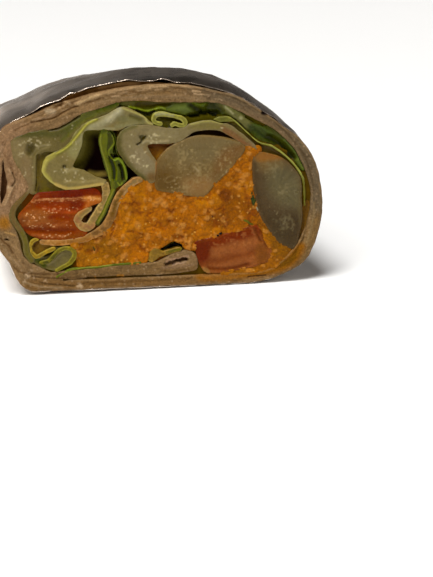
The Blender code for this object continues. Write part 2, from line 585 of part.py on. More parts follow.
def add_bits(patty, field):
    """Fuse a lentil, herb flakes and bulgur grains to the patty's cut face."""
    draw = random.Random(SEED)
    bits = [(LENTIL_DISC[0], (LENTIL_DISC[1], LENTIL_DISC[1]), 0.0)] + HERB_FLAKES
    while len(bits) < GRAIN_COUNT + 1 + len(HERB_FLAKES):
        x, z = draw.uniform(-30, 36), draw.uniform(4, 38)
        size = draw.uniform(*GRAIN_SIZE)
        deep = field[int((z - Z_SPAN[0]) / CELL), int((x - X_SPAN[0]) / CELL)] < -1.2 * size
        apart = all(math.dist((x, z), spot) > 1.3 * (max(half) + size) for spot, half, _ in bits)
        if deep and apart:
            bits.append(((x, z), (size, 0.7 * size), draw.uniform(0, 180)))
    group = bpy.data.collections.new("bits")
    for (x, z), (half_x, half_z), turn in bits:
        grain = bmesh.new()
        bmesh.ops.create_icosphere(grain, subdivisions=1, radius=MM)
        for vert in grain.verts:
            vert.co = Vector((vert.co.x * half_x, vert.co.y * BIT_THICKNESS, vert.co.z * half_z))
        item = add_object("bit", grain, patty.data.materials[0])
        item.rotation_euler = (0.0, -math.radians(turn), 0.0)
        item.location = place(x, PATTY_RECESS, z)
        bpy.context.scene.collection.objects.unlink(item)
        group.objects.link(item)
    union = patty.modifiers.new("fuse bits", "BOOLEAN")
    union.operand_type = "COLLECTION"
    union.collection = group
    union.solver = "MANIFOLD"
    bpy.context.scene.collection.children.link(group)
    bpy.context.view_layer.update()
    fused = bpy.data.meshes.new_from_object(patty.evaluated_get(bpy.context.evaluated_depsgraph_get()))
    patty.modifiers.clear()
    patty.data = fused
    for item in list(group.objects):
        bpy.data.objects.remove(item)
    bpy.data.collections.remove(group)


def settle(items):
    """Put the origin under the middle of the whole half, on the surface that it lies on."""
    points = np.array([item.matrix_world @ vert.co for item in items for vert in item.data.vertices])
    low, high = points.min(axis=0), points.max(axis=0)
    shift = Matrix.Translation((-0.5 * (low[0] + high[0]), -0.5 * (low[1] + high[1]), -low[2]))
    for item in items:
        item.data.transform(shift)


def build():
    for item in list(bpy.data.objects):
        bpy.data.objects.remove(item)

    foil = finish("foil", (0.62, 0.61, 0.60), 0.3, 1.0)
    bread = finish("flatbread", (0.36, 0.22, 0.12), 0.8)
    tomato = finish("tomato", (0.42, 0.08, 0.03), 0.3)
    cucumber = finish("cucumber", (0.22, 0.19, 0.08), 0.3)
    patty = finish("lentil patty", (0.55, 0.18, 0.01), 0.6)
    pale_leaf = finish("pale lettuce", (0.32, 0.32, 0.11), 0.4)
    green_leaf = finish("green lettuce", (0.10, 0.19, 0.02), 0.4)

    bread_outside, bread_wall = bread_fields()
    sweep("foil", foil_field(bread_outside), foil, front=FOIL_SETBACK, back=BODY_LENGTH,
          hole_back=lambda hole: BODY_LENGTH - FOIL_THICKNESS)

    def bread_hole_depth(hole):
        return CAVITY_END if abs(area(hole)) > CAVITY_AREA else SLIT_DEPTH

    sweep("flatbread", bread_wall, bread, back=BREAD_END, hole_back=bread_hole_depth)

    taken = joined(bread_wall, -bread_outside)
    for name, shape, material in (
        ("cucumber_middle", CUCUMBER_MIDDLE, cucumber),
        ("cucumber_right", CUCUMBER_RIGHT, cucumber),
        ("tomato_left", TOMATO_LEFT, tomato),
        ("tomato_right", TOMATO_RIGHT, tomato),
    ):
        field = clear_of(blob(shape), taken)
        sweep(name, field, material)
        taken = joined(taken, field)

    green = ("leaf_pleated", "leaf_top_shade", "leaf_right_edge", "leaf_corner_loop")
    for name, shape in leaf_fields():
        field = clear_of(shape, taken)
        front = RECESS if name == "leaf_top_shade" else 0.0
        sweep(name, field, green_leaf if name in green else pale_leaf, front=front)
        taken = joined(taken, field)

    field = clear_of(blob(PATTY), taken)
    mash = sweep("lentil_patty", field, patty, front=PATTY_RECESS, relief=RELIEF_SPACING)
    add_bits(mash, field)
    settle(list(bpy.data.objects))


build()
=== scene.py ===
"""The looks of half a lentil patty wrap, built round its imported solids.

The bread and each filling and leaf is one finely meshed piece. Its outline is read
from its CAD node, just behind the cut. Its cut face is a height field that brush
strokes colour and press in or raise. Linings with outlines of their own close the
hollows between the pieces, and the foil is a thin sheet round the bread.

Strokes and outlines are in millimetres of the section: x across, z up from the
underside of the bread, and depth back from the cut.
"""
import math
import random

import bmesh
import bpy
import numpy as np
from mathutils import Matrix, Vector
from mathutils.geometry import delaunay_2d_cdt


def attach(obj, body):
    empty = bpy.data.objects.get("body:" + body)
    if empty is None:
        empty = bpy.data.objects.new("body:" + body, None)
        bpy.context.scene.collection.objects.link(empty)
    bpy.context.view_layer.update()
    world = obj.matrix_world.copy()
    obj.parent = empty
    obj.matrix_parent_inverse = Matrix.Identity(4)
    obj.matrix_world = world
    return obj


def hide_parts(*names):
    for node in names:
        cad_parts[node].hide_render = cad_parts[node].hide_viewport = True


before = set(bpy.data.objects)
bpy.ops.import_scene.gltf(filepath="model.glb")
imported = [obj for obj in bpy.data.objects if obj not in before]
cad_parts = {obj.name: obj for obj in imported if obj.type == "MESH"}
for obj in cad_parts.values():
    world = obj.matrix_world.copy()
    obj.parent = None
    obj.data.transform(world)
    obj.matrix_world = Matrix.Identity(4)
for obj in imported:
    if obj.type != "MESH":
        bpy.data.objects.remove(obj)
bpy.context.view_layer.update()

MM = 0.001

# --------------------------------------------------------------------------
# How the half is laid out, as in the CAD model, in millimetres
# --------------------------------------------------------------------------
BODY_LENGTH = 104.0
FACE_Y = -52.0            # the cut face, in the frame
SECTION_X = 1.187         # where the section's x = 0 lies in the frame
LIFT = 0.85               # the underside of the bread above the table
WIDTH_TAPER = ((0.20, 4.0), (0.20, 12.0))
HEIGHT_TAPER = ((0.40, 2.5), (0.26, 12.0))
LEAN = math.tan(math.radians(5.0))
STATION_Y = BODY_LENGTH * (1 - (1 - np.arange(8) / 7) ** 1.9)
FLOOR_GAP = 0.05          # nothing comes nearer to the table than this
SLICE_DEPTH = 3.0         # the outlines are read this far behind the cut
FILLING_END = 94.0
BREAD_END = 102.4
BREAD_SHORT = 1.2         # the scene's bread ends this far before the CAD model's, inside the foil


def shrink(depth, taper):
    way = STATION_Y / BODY_LENGTH
    return np.interp(depth, STATION_Y, 1 - sum(loss * way ** power for loss, power in taper))


# --------------------------------------------------------------------------
# The camera: a little above the cut and to its left
# --------------------------------------------------------------------------
AZIMUTH, ELEVATION, ROLL = -6.0, 15.12, -1.48
DISTANCE = 450.0
AIM = Vector((18.7, FACE_Y, -0.74))
FOCAL_PX = 1569.0
IMAGE = (433, 577)
LOOK = Vector((
    -math.sin(math.radians(AZIMUTH)) * math.cos(math.radians(ELEVATION)),
    math.cos(math.radians(AZIMUTH)) * math.cos(math.radians(ELEVATION)),
    -math.sin(math.radians(ELEVATION)),
))
TURN = LOOK.to_track_quat("-Z", "Y").to_matrix() @ Matrix.Rotation(math.radians(ROLL), 3, "Z")
EYE = AIM - LOOK * DISTANCE

# The section was drawn flat, as if seen from far away: one pixel is 0.28 mm across.
PIXEL = 0.28
UPRIGHT_PIXEL = 0.2886
DRAWN_ORIGIN_PX = (155.0, 286.0)
DRAWN_TILT = math.radians(2.4)
PERSPECTIVE_FADE = 18.0


def as_seen(x, z):
    """Where a flat section point must lie on the cut for the near camera to see it at its drawn place."""
    a, b = x / PIXEL, z / UPRIGHT_PIXEL
    u = DRAWN_ORIGIN_PX[0] + a * math.cos(DRAWN_TILT) - b * math.sin(DRAWN_TILT)
    v = DRAWN_ORIGIN_PX[1] - a * math.sin(DRAWN_TILT) - b * math.cos(DRAWN_TILT)
    rays = np.stack([u - IMAGE[0] / 2, IMAGE[1] / 2 - v, np.full(np.shape(u), -FOCAL_PX)],
                    axis=-1) @ np.array(TURN).T
    reach = (FACE_Y - EYE[1]) / rays[..., 1]
    return EYE[0] + reach * rays[..., 0] - SECTION_X, EYE[2] + reach * rays[..., 2] - LIFT


def place(x, depth, z):
    """Points of the section, set back by a depth, as frame coordinates in metres."""
    x, depth, z = np.broadcast_arrays(x, depth, z)
    back = np.maximum(depth, 0)
    seen_x, seen_z = as_seen(x, z)
    near = np.exp(-back / PERSPECTIVE_FADE)
    x = x + near * (seen_x - x)
    z = np.maximum(z + near * (seen_z - z), FLOOR_GAP - LIFT)
    return np.stack([
        (x * shrink(back, WIDTH_TAPER) - back * LEAN + SECTION_X) * MM,
        (depth + FACE_Y) * MM,
        (z + LIFT) * shrink(back, HEIGHT_TAPER) * MM,
    ], axis=-1)


# --------------------------------------------------------------------------
# Noise and curves
# --------------------------------------------------------------------------
def lattice(i, k, seed):
    """A repeatable random number for each whole-numbered point, from 0 to 1."""
    h = (i.astype(np.int64) * 374761393 + k.astype(np.int64) * 668265263 + seed * 974634777) & 0x7FFFFFFF
    h = ((h ^ (h >> 13)) * 1274126177) & 0x7FFFFFFF
    return ((h ^ (h >> 16)) & 0xFFFF) / 65535.0


def wave(x, z, size, seed):
    """Smooth noise from -1 to 1 with lumps of the given size."""
    x, z = x / size + 31.7, z / size + 57.3
    i, k = np.floor(x), np.floor(z)
    u, v = x - i, z - k
    u, v = u * u * (3 - 2 * u), v * v * (3 - 2 * v)
    low = lattice(i, k, seed) * (1 - u) + lattice(i + 1, k, seed) * u
    high = lattice(i, k + 1, seed) * (1 - u) + lattice(i + 1, k + 1, seed) * u
    return 2 * (low * (1 - v) + high * v) - 1


def rough(x, z, size, seed, octaves=3):
    """Noise with finer lumps on coarser ones."""
    total, weight = 0.0, 0.0
    for octave in range(octaves):
        share = 0.5 ** octave
        total = total + share * wave(x * 2 ** octave, z * 2 ** octave, size, seed + 17 * octave)
        weight += share
    return total / weight


def facets(x, z, size, seed):
    """Flat facets with sharp creases between them, as in crumpled foil, from -1 to 1."""
    x, z = x / size + 13.1, z / size + 71.9
    skew = 0.3660254 * (x + z)
    i, k = np.floor(x + skew), np.floor(z + skew)
    unskew = 0.2113249 * (i + k)
    u, v = x - i + unskew, z - k + unskew
    right = u > v
    a, b = u + 0.3660254 * (u + v), v + 0.3660254 * (u + v)
    first = np.where(right, a - b, b - a)
    last = np.where(right, b, a)
    corner = np.where(right, lattice(i + 1, k, seed), lattice(i, k + 1, seed))
    return 2 * (lattice(i, k, seed) * (1 - first - last) + corner * first
                + lattice(i + 1, k + 1, seed) * last) - 1


def cells(x, z, size, seed):
    """Packed cells: the distance to the nearest middle, to the next one, and the cell's number."""
    x, z = x / size + 23.3, z / size + 41.7
    i, k = np.floor(x), np.floor(z)
    nearest = np.full(np.shape(x), 9.0)
    second = np.full(np.shape(x), 9.0)
    number = np.zeros(np.shape(x))
    for di in (-1, 0, 1):
        for dk in (-1, 0, 1):
            cx = i + di + lattice(i + di, k + dk, seed)
            cz = k + dk + lattice(i + di, k + dk, seed + 5)
            gap = np.hypot(x - cx, z - cz)
            closer = gap < nearest
            second = np.where(closer, nearest, np.minimum(second, gap))
            number = np.where(closer, lattice(i + di, k + dk, seed + 9), number)
            nearest = np.where(closer, gap, nearest)
    return nearest, second, number


def smoothstep(low, high, value):
    t = np.clip((value - low) / (high - low), 0, 1)
    return t * t * (3 - 2 * t)


CURVE_STEP = 0.4


def curve(points, closed=False):
    """A smooth line through the points."""
    pts = np.array(points, dtype=float)
    if closed:
        pts = np.vstack([pts[-1], pts, pts[0], pts[1]])
    else:
        pts = np.vstack([2 * pts[0] - pts[1], pts, 2 * pts[-1] - pts[-2]])
    out = []
    for p0, p1, p2, p3 in zip(pts, pts[1:], pts[2:], pts[3:]):
        t = np.linspace(0, 1, max(2, int(np.hypot(*(p2 - p1)) / CURVE_STEP)), endpoint=False)[:, None]
        out.append(0.5 * (2 * p1 + (p2 - p0) * t + (2 * p0 - 5 * p1 + 4 * p2 - p3) * t ** 2
                          + (3 * p1 - p0 - 3 * p2 + p3) * t ** 3))
    if not closed:
        out.append(pts[-2:-1])
    return np.vstack(out)


def distance(points, line, closed=False):
    """How far each point is from a line, and how far along the line its nearest place is."""
    ends = np.vstack([line, line[:1]]) if closed else line
    best = np.full(len(points), 1e9)
    along = np.zeros(len(points))
    run = 0.0
    for a, b in zip(ends, ends[1:]):
        ab = b - a
        length = math.hypot(*ab)
        t = np.clip(((points - a) @ ab) / max(length ** 2, 1e-12), 0, 1)
        gap = np.hypot(points[:, 0] - a[0] - t * ab[0], points[:, 1] - a[1] - t * ab[1])
        closer = gap < best
        best[closer] = gap[closer]
        along[closer] = run + t[closer] * length
        run += length
    return best, along


def within(points, loop):
    """Which points lie inside a loop."""
    inside = np.zeros(len(points), dtype=bool)
    x, z = points[:, 0], points[:, 1]
    for (ax, az), (bx, bz) in zip(loop, np.roll(loop, -1, axis=0)):
        if az != bz:
            inside ^= ((az > z) != (bz > z)) & (x < ax + (z - az) * (bx - ax) / (bz - az))
    return inside


# --------------------------------------------------------------------------
# Outlines of the CAD nodes
# --------------------------------------------------------------------------
def node_loops(node):
    """The outlines of a CAD node just behind the cut, as section points, largest first."""
    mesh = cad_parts[node].data
    mesh.calc_loop_triangles()
    corners = np.array([vert.co for vert in mesh.vertices]) / MM
    _, welded = np.unique(np.round(corners, 3), axis=0, return_inverse=True)
    welded = welded.ravel()
    spots = np.zeros((welded.max() + 1, 3))
    spots[welded] = corners
    side = spots[:, 1] > FACE_Y + SLICE_DEPTH
    links = {}
    for triangle in mesh.loop_triangles:
        three = [welded[k] for k in triangle.vertices]
        cut = [tuple(sorted(pair)) for pair in zip(three, three[1:] + three[:1])
               if side[pair[0]] != side[pair[1]]]
        if len(cut) == 2:
            links.setdefault(cut[0], []).append(cut[1])
            links.setdefault(cut[1], []).append(cut[0])
    loops = []
    while links:
        start = next(iter(links))
        chain, here, before = [start], start, None
        while True:
            ahead = [k for k in links.pop(here) if k != before]
            if not ahead or ahead[0] == start:
                break
            before, here = here, ahead[0]
            chain.append(here)
        a, b = spots[[k[0] for k in chain]], spots[[k[1] for k in chain]]
        t = (FACE_Y + SLICE_DEPTH - a[:, 1]) / (b[:, 1] - a[:, 1])
        cut = a + t[:, None] * (b - a)
        loops.append(np.stack([
            (cut[:, 0] - SECTION_X + SLICE_DEPTH * LEAN) / shrink(SLICE_DEPTH, WIDTH_TAPER),
            cut[:, 2] / shrink(SLICE_DEPTH, HEIGHT_TAPER) - LIFT,
        ], axis=1))
    loops.sort(key=lambda loop: -area(loop))
    return loops


def area(loop):
    return abs(0.5 * np.sum(loop[:, 0] * np.roll(loop[:, 1], -1) - loop[:, 1] * np.roll(loop[:, 0], -1)))


def grown(loop, reach):
    """The loop pushed outwards by a reach."""
    if np.sum(loop[:, 0] * np.roll(loop[:, 1], -1) - loop[:, 1] * np.roll(loop[:, 0], -1)) < 0:
        loop = loop[::-1]
    way = np.roll(loop, -1, axis=0) - np.roll(loop, 1, axis=0)
    normal = np.stack([way[:, 1], -way[:, 0]], axis=1) / np.maximum(np.hypot(*way.T), 1e-9)[:, None]
    return loop + reach * normal


def even(loop, spacing, soften):
    """The loop with evenly spaced points and its corners softened."""
    closed = np.vstack([loop, loop[:1]])
    run = np.concatenate([[0], np.cumsum(np.hypot(*np.diff(closed, axis=0).T))])
    fine = 0.1
    count = max(24, int(run[-1] / fine))
    places = np.linspace(0, run[-1], count, endpoint=False)
    dense = np.stack([np.interp(places, run, closed[:, 0]), np.interp(places, run, closed[:, 1])], axis=1)
    reach = int(soften / fine)
    if reach:
        window = np.hanning(2 * reach + 3)[1:-1]
        wrapped = np.vstack([dense[-reach:], dense, dense[:reach]])
        dense = np.stack([np.convolve(wrapped[:, k], window / window.sum(), "valid") for k in (0, 1)], axis=1)
    keep = np.round(np.linspace(0, len(dense), max(12, int(run[-1] / spacing)), endpoint=False)).astype(int)
    return dense[keep]


# --------------------------------------------------------------------------
# Colours and brushes
# --------------------------------------------------------------------------
VEIL = 0.008              # the light that gloss lays over every colour
GAIN = 1.3                # how much brighter the lights make a surface at the cut


def shade(red, green, blue):
    """The surface colour that looks like a display colour, 0 to 255, under this scene's lights."""
    c = np.array([red, green, blue]) / 255.0
    seen = np.where(c <= 0.04045, c / 12.92, ((c + 0.055) / 1.055) ** 2.4)
    return np.maximum(seen - VEIL, 0.0005) / GAIN


class Paint:
    """The colour and the depth of a cut face, built up by strokes."""

    def __init__(self, points, colour):
        self.points = points
        self.colour = np.tile(shade(*colour), (len(points), 1))
        self.depth = np.zeros(len(points))
        self.layer = np.zeros((len(points), 3))

    def dust(self, x, z, size, amount=0.7, flat=1.0, colour=(196, 182, 138)):
        """A patch of pale specks, crowded in its middle."""
        gap = np.hypot((self.points[:, 0] - x) / flat, self.points[:, 1] - z) / size
        fleck = 0.75 * wave(*self.points.T, 0.5, 11) + 0.35 * wave(*self.points.T, 1.3, 12) + 0.3
        weight = 0.75 * amount * smoothstep(0.0, 0.8, fleck - 0.6 * np.maximum(gap - 0.2, 0))
        self.lay(weight * (gap < 2.4), colour, -0.05)

    def dusts(self, patches, amount, colour=(196, 182, 138)):
        """Several such patches, each (x, z, size, width over height)."""
        for x, z, size, flat in patches:
            self.dust(x, z, size, amount, flat, colour)

    def lay(self, weight, colour=None, depth=0.0):
        """Blend a colour in by the weight at each point, and press in (or raise, below zero) by a depth."""
        if colour is not None:
            self.colour += weight[:, None] * (shade(*colour) - self.colour)
        self.depth += weight * depth

    def line(self, points, width, colour=None, soft=0.4, depth=0.0, amount=1.0):
        """A stroke along a smooth line."""
        path = curve(points)
        reach = 0.5 * width + soft
        low, high = path.min(axis=0) - reach, path.max(axis=0) + reach
        near = np.all((self.points > low) & (self.points < high), axis=1)
        weight = np.zeros(len(self.points))
        if near.any():
            gap, _ = distance(self.points[near], path)
            weight[near] = amount * (1 - smoothstep(0.5 * width - soft, 0.5 * width + soft, gap))
        self.lay(weight, colour, depth)

    def spot(self, x, z, size, colour=None, soft=None, depth=0.0, amount=1.0, flat=1.0):
        """A soft round spot, wider than high where flat is over one."""
        gap = np.hypot((self.points[:, 0] - x) / flat, self.points[:, 1] - z)
        soft = size if soft is None else soft
        self.lay(amount * (1 - smoothstep(size - soft, size + soft, gap)), colour, depth)

    def field(self, points, colour=None, soft=0.5, depth=0.0, amount=1.0):
        """A closed smooth region."""
        path = curve(points, closed=True)
        gap, _ = distance(self.points, path, closed=True)
        gap = np.where(within(self.points, path), -gap, gap)
        self.lay(amount * (1 - smoothstep(-soft, soft, gap)), colour, depth)

    def tone(self, share):
        """Brighten or darken by a share at each point."""
        self.colour *= np.clip(1 + share, 0.05, None)[:, None]


# --------------------------------------------------------------------------
# Pieces
# --------------------------------------------------------------------------
WALL_DEPTHS = (0.9, 2.0, 3.6, 6.0, 10.0, 16.0, 26.0, 42.0, 60.0, 78.0)
MESH_SEED, RAGGED_SEED = 1, 4


def new_mesh(name, verts, faces, colours, material, layer=None):
    """A smooth mesh object with a colour at each vertex, and where its layers run if that is given."""
    data = bpy.data.meshes.new(name)
    data.from_pydata([tuple(v) for v in verts], [], faces)
    tint = data.color_attributes.new("tint", "FLOAT_COLOR", "POINT")
    flat = np.ones((len(verts), 4))
    flat[:, :3] = np.clip(colours, 0, 1)
    tint.data.foreach_set("color", flat.ravel())
    if layer is not None:
        whole = np.zeros((len(verts), 3))
        whole[:len(layer)] = layer
        field = data.attributes.new("layer", "FLOAT_VECTOR", "POINT")
        field.data.foreach_set("vector", whole.ravel())
    data.materials.append(material)
    data.shade_smooth()
    item = bpy.data.objects.new(name, data)
    bpy.context.scene.collection.objects.link(item)
    return item


def dress(item, slot, *nodes):
    """Ride the root and hide the CAD nodes it replaces; the slot is not used."""
    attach(item, "root")
    if nodes:
        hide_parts(*nodes)
    return item


def fill(loops, spacing):
    """Points and triangles that fill an outline with holes: the rim's points come first."""
    rim = np.vstack(loops)
    edges, start = [], 0
    for loop in loops:
        edges += [(start + k, start + (k + 1) % len(loop)) for k in range(len(loop))]
        start += len(loop)
    points = rim
    if spacing:
        low, high = rim.min(axis=0), rim.max(axis=0)
        gx, gz = np.meshgrid(np.arange(low[0], high[0], spacing), np.arange(low[1], high[1], 0.87 * spacing))
        gx = gx + 0.5 * spacing * (np.arange(gx.shape[0]) % 2)[:, None]
        draw = np.random.default_rng(MESH_SEED)
        inner = np.stack([gx.ravel(), gz.ravel()], axis=1) + draw.uniform(-0.18, 0.18, (gx.size, 2)) * spacing
        keep = within(inner, loops[0])
        for hole in loops[1:]:
            keep &= ~within(inner, hole)
        inner = inner[keep]
        gap = np.min([distance(inner, loop, closed=True)[0] for loop in loops], axis=0)
        points = np.vstack([rim, inner[gap > 0.55 * spacing]])
    verts, _, faces, _, _, _ = delaunay_2d_cdt([Vector(p) for p in points], edges, [], 0, 1e-7)
    points = np.array([tuple(v) for v in verts])
    faces = np.array([f for f in faces if len(f) == 3])
    middle = points[faces].mean(axis=1)
    keep = within(middle, loops[0])
    for hole in loops[1:]:
        keep &= ~within(middle, hole)
    return points, faces[keep], len(rim)


def slab(name, loops, paint, material, front=0.0, back=FILLING_END, spacing=0.3, rim=0.2,
         soften=0.3, grow=0.3, wall=None, ragged=0.0):
    """One closed piece: a painted height field at the cut, walls swept back, and a lid behind.

    paint(points, edge) gives a Paint; wall(colours, depth) gives the walls' colours.
    """
    fine = 0.15
    loops = [grown(even(loop, fine, soften), grow if k == 0 else -grow) for k, loop in enumerate(loops)]
    loops = [even(loop, spacing, fine) for loop in loops]
    if ragged:
        loops = [grown(loop, (ragged * rough(*loop.T, 1.6, RAGGED_SEED))[:, None]) for loop in loops]
    points, faces, rims = fill(loops, spacing)
    edge = np.min([distance(points, loop, closed=True)[0] for loop in loops], axis=0)
    edge[:rims] = 0.0
    cover = paint(points, edge)
    inset = np.clip(rim - edge, 0, rim)
    rounding = rim - np.sqrt(np.maximum(rim ** 2 - inset ** 2, 0))
    depth = front + cover.depth + rounding
    verts = [place(points[:, 0], depth, points[:, 1])]
    colours = [cover.colour]
    triangles = turned(points, faces, range(len(points)), 1)
    total = len(points)
    start = 0
    last_rings = []
    for loop in loops:
        count = len(loop)
        previous = list(range(start, start + count))
        rim_colour = cover.colour[start:start + count]
        rim_depth = depth[start:start + count]
        levels = [level for level in WALL_DEPTHS if level < back - 1] + [back]
        for level in levels:
            ring_depth = np.minimum(np.maximum(rim_depth + 0.2, level), back)
            verts.append(place(loop[:, 0], ring_depth, loop[:, 1]))
            colours.append(wall(rim_colour, level) if wall else rim_colour)
            ring = list(range(total, total + count))
            total += count
            for k in range(count):
                j = (k + 1) % count
                quad = (previous[k], ring[k], ring[j], previous[j])
                triangles.append(quad if start == 0 else quad[::-1])
            previous = ring
        last_rings.append((loop, previous))
        start += count
    # the lid behind
    back_points, back_faces, _ = fill([loop for loop, _ in last_rings], None)
    back_index = [k for _, ring in last_rings for k in ring]
    extra = back_points[len(back_index):]
    if len(extra):
        back_index += list(range(total, total + len(extra)))
        verts.append(place(extra[:, 0], back, extra[:, 1]))
        colours.append(np.tile(cover.colour[0], (len(extra), 1)))
    triangles += turned(back_points, back_faces, back_index, -1)
    return new_mesh(name, np.vstack(verts), triangles, np.vstack(colours), material, cover.layer)


def turned(points, faces, index, side):
    """The faces of a flat cap, all facing forward (side 1) or back (side -1)."""
    a, b, c = (points[faces[:, k]] for k in (0, 1, 2))
    turn = (b - a)[:, 0] * (c - a)[:, 1] - (b - a)[:, 1] * (c - a)[:, 0]
    return [tuple(index[k] for k in (face if way * side > 0 else face[::-1]))
            for face, way in zip(faces, turn)]


def face_out(data):
    """Make all faces of a closed mesh look outwards."""
    work = bmesh.new()
    work.from_mesh(data)
    bmesh.ops.recalc_face_normals(work, faces=work.faces[:])
    if work.calc_volume(signed=True) < 0:
        bmesh.ops.reverse_faces(work, faces=work.faces[:])
    work.to_mesh(data)
    work.free()


# --------------------------------------------------------------------------
# Materials
# --------------------------------------------------------------------------
class Nodes:
    """A small helper that builds one material's nodes."""

    def __init__(self, name):
        self.material = bpy.data.materials.new(name)
        self.material.use_nodes = True
        self.tree = self.material.node_tree
        self.shader = self.tree.nodes["Principled BSDF"]
        place_node = self.add("ShaderNodeTexCoord")
        scale = self.add("ShaderNodeVectorMath", operation="SCALE")
        scale.inputs["Scale"].default_value = 1 / MM
        self.link(place_node.outputs["Object"], scale.inputs[0])
        self.place = scale.outputs[0]

    def add(self, kind, **settings):
        node = self.tree.nodes.new(kind)
        for key, value in settings.items():
            setattr(node, key, value)
        return node

    def link(self, a, b):
        self.tree.links.new(a, b)

    def noise(self, size, detail=3.0, stretch=None, kind="ShaderNodeTexNoise"):
        """Noise with lumps of a size in millimetres, drawn out where stretch says so."""
        node = self.add(kind)
        node.inputs["Scale"].default_value = 1.0 / size
        if "Detail" in node.inputs:
            node.inputs["Detail"].default_value = detail
        where = self.place
        if stretch:
            squash = self.add("ShaderNodeMapping")
            squash.inputs["Scale"].default_value = stretch
            self.link(where, squash.inputs["Vector"])
            where = squash.outputs["Vector"]
        self.link(where, node.inputs["Vector"])
        return node

    def ramp(self, value, low, high, low_out=0.0, high_out=1.0):
        """Smoothly map a value between two ends to another range."""
        node = self.add("ShaderNodeMapRange")
        node.interpolation_type = "SMOOTHSTEP"
        for key, number in (("From Min", low), ("From Max", high), ("To Min", low_out), ("To Max", high_out)):
            node.inputs[key].default_value = number
        self.link(value, node.inputs["Value"])
        return node.outputs["Result"]

    def mix(self, factor, a, b, blend="MIX"):
        """Blend two colours, each a socket or a fixed colour."""
        node = self.add("ShaderNodeMix", data_type="RGBA", blend_type=blend)
        for socket, value in ((node.inputs[0], factor), (node.inputs[6], a), (node.inputs[7], b)):
            if isinstance(value, bpy.types.NodeSocket):
                self.link(value, socket)
            elif isinstance(value, (int, float)):
                socket.default_value = value
            else:
                socket.default_value = (*value, 1.0)
        return node.outputs[2]

    def grey(self, value):
        """One value as a grey colour."""
        node = self.add("ShaderNodeCombineXYZ")
        for socket in node.inputs:
            self.link(value, socket)
        return node.outputs[0]

    def times(self, a, b):
        node = self.add("ShaderNodeMath", operation="MULTIPLY")
        self.link(a, node.inputs[0])
        self.link(b, node.inputs[1])
        return node.outputs[0]

    def bump(self, height, strength, distance_mm, after=None):
        node = self.add("ShaderNodeBump")
        node.inputs["Strength"].default_value = strength
        node.inputs["Distance"].default_value = distance_mm * MM
        self.link(height, node.inputs["Height"])
        if after is not None:
            self.link(after, node.inputs["Normal"])
        return node.outputs["Normal"]

    def set(self, **values):
        for key, value in values.items():
            socket = self.shader.inputs[key.replace("_", " ")]
            if isinstance(value, bpy.types.NodeSocket):
                self.link(value, socket)
            else:
                socket.default_value = value


LAYER_STREAKS = (((0.45, 1.6, 1.0), 0.12), ((1.6, 4.0, 1.0), 0.10))     # scale along and across, strength
RELIEF_DEPTH = 0.25


def food(name, grain=0.5, mottle=0.25, roughness=0.4, spread=0.15, bump=0.3, bump_size=0.35, glow=0.0,
         glow_radius=(1.0, 0.6, 0.3), specular=0.12, glints=None, glint_size=0.9, glint_share=0.8,
         streaks=False, light=(1.0, 1.0, 1.0)):
    """A moist food surface: painted colour with fine mottling, glints, gloss that varies, and fine relief."""
    n = Nodes(name)
    paint = n.add("ShaderNodeAttribute", attribute_name="tint")
    fine = n.noise(grain, 4.0)
    share = n.ramp(fine.outputs["Fac"], 0.3, 0.7, 1 - mottle, 1 + mottle)
    colour = n.mix(1.0, paint.outputs["Color"], n.grey(share), "MULTIPLY")
    colour = n.mix(1.0, colour, light, "MULTIPLY")
    height = n.noise(bump_size, 5.0).outputs["Fac"]
    if streaks:
        run = n.add("ShaderNodeAttribute", attribute_name="layer")
        for scale, strength in LAYER_STREAKS:
            squash = n.add("ShaderNodeMapping")
            squash.inputs["Scale"].default_value = scale
            n.link(run.outputs["Vector"], squash.inputs["Vector"])
            lines = n.add("ShaderNodeTexNoise")
            lines.inputs["Scale"].default_value = 1.0
            lines.inputs["Detail"].default_value = 4.0
            lines.inputs["Distortion"].default_value = 0.6
            n.link(squash.outputs["Vector"], lines.inputs["Vector"])
            tone = n.ramp(lines.outputs["Fac"], 0.30, 0.70, 1 - strength, 1 + strength)
            colour = n.mix(1.0, colour, n.grey(tone), "MULTIPLY")
    if glints:
        dots = n.noise(glint_size, 2.0, kind="ShaderNodeTexVoronoi")
        small = n.ramp(dots.outputs["Distance"], 0.10, 0.20, glint_share, 0.0)
        where = n.ramp(n.noise(2.4, 3.0).outputs["Fac"], 0.50, 0.58)
        colour = n.mix(n.times(small, where), colour, shade(*glints))
    gloss = n.ramp(n.noise(1.3, 2.0).outputs["Fac"], 0.3, 0.7, roughness - spread, roughness + spread)
    n.set(Base_Color=colour, Roughness=gloss, Normal=n.bump(height, bump, RELIEF_DEPTH),
          Specular_IOR_Level=specular)
    if glow:
        n.set(Subsurface_Weight=glow, Subsurface_Radius=glow_radius, Subsurface_Scale=1.0 * MM)
    return n.material


BREAD = food("flatbread", grain=0.45, mottle=0.16, roughness=0.8, spread=0.1, bump=0.5, bump_size=0.3,
             glow=0.05, specular=0.05, streaks=True, light=(1.02, 1.09, 1.2))
PALE_LEAF = food("pale lettuce", grain=0.8, mottle=0.08, roughness=0.34, spread=0.12, bump=0.25,
                 bump_size=0.5, glow=0.3, glow_radius=(1.2, 1.0, 0.4), glints=(205, 196, 160), glint_size=1.1,
                 glint_share=0.45)
GREEN_LEAF = food("green lettuce", grain=0.9, mottle=0.10, roughness=0.36, spread=0.12, bump=0.25,
                  bump_size=0.6, glow=0.2, glow_radius=(0.6, 1.0, 0.2), glints=(150, 158, 90), glint_size=1.2,
                  glint_share=0.35)
TOMATO = food("tomato", grain=0.5, mottle=0.12, roughness=0.26, spread=0.12, bump=0.40, bump_size=0.6,
              glow=0.2, glow_radius=(1.2, 0.5, 0.2), specular=0.05, glints=(222, 150, 120), glint_size=0.8,
              glint_share=0.7, light=(1.04, 0.94, 0.6))
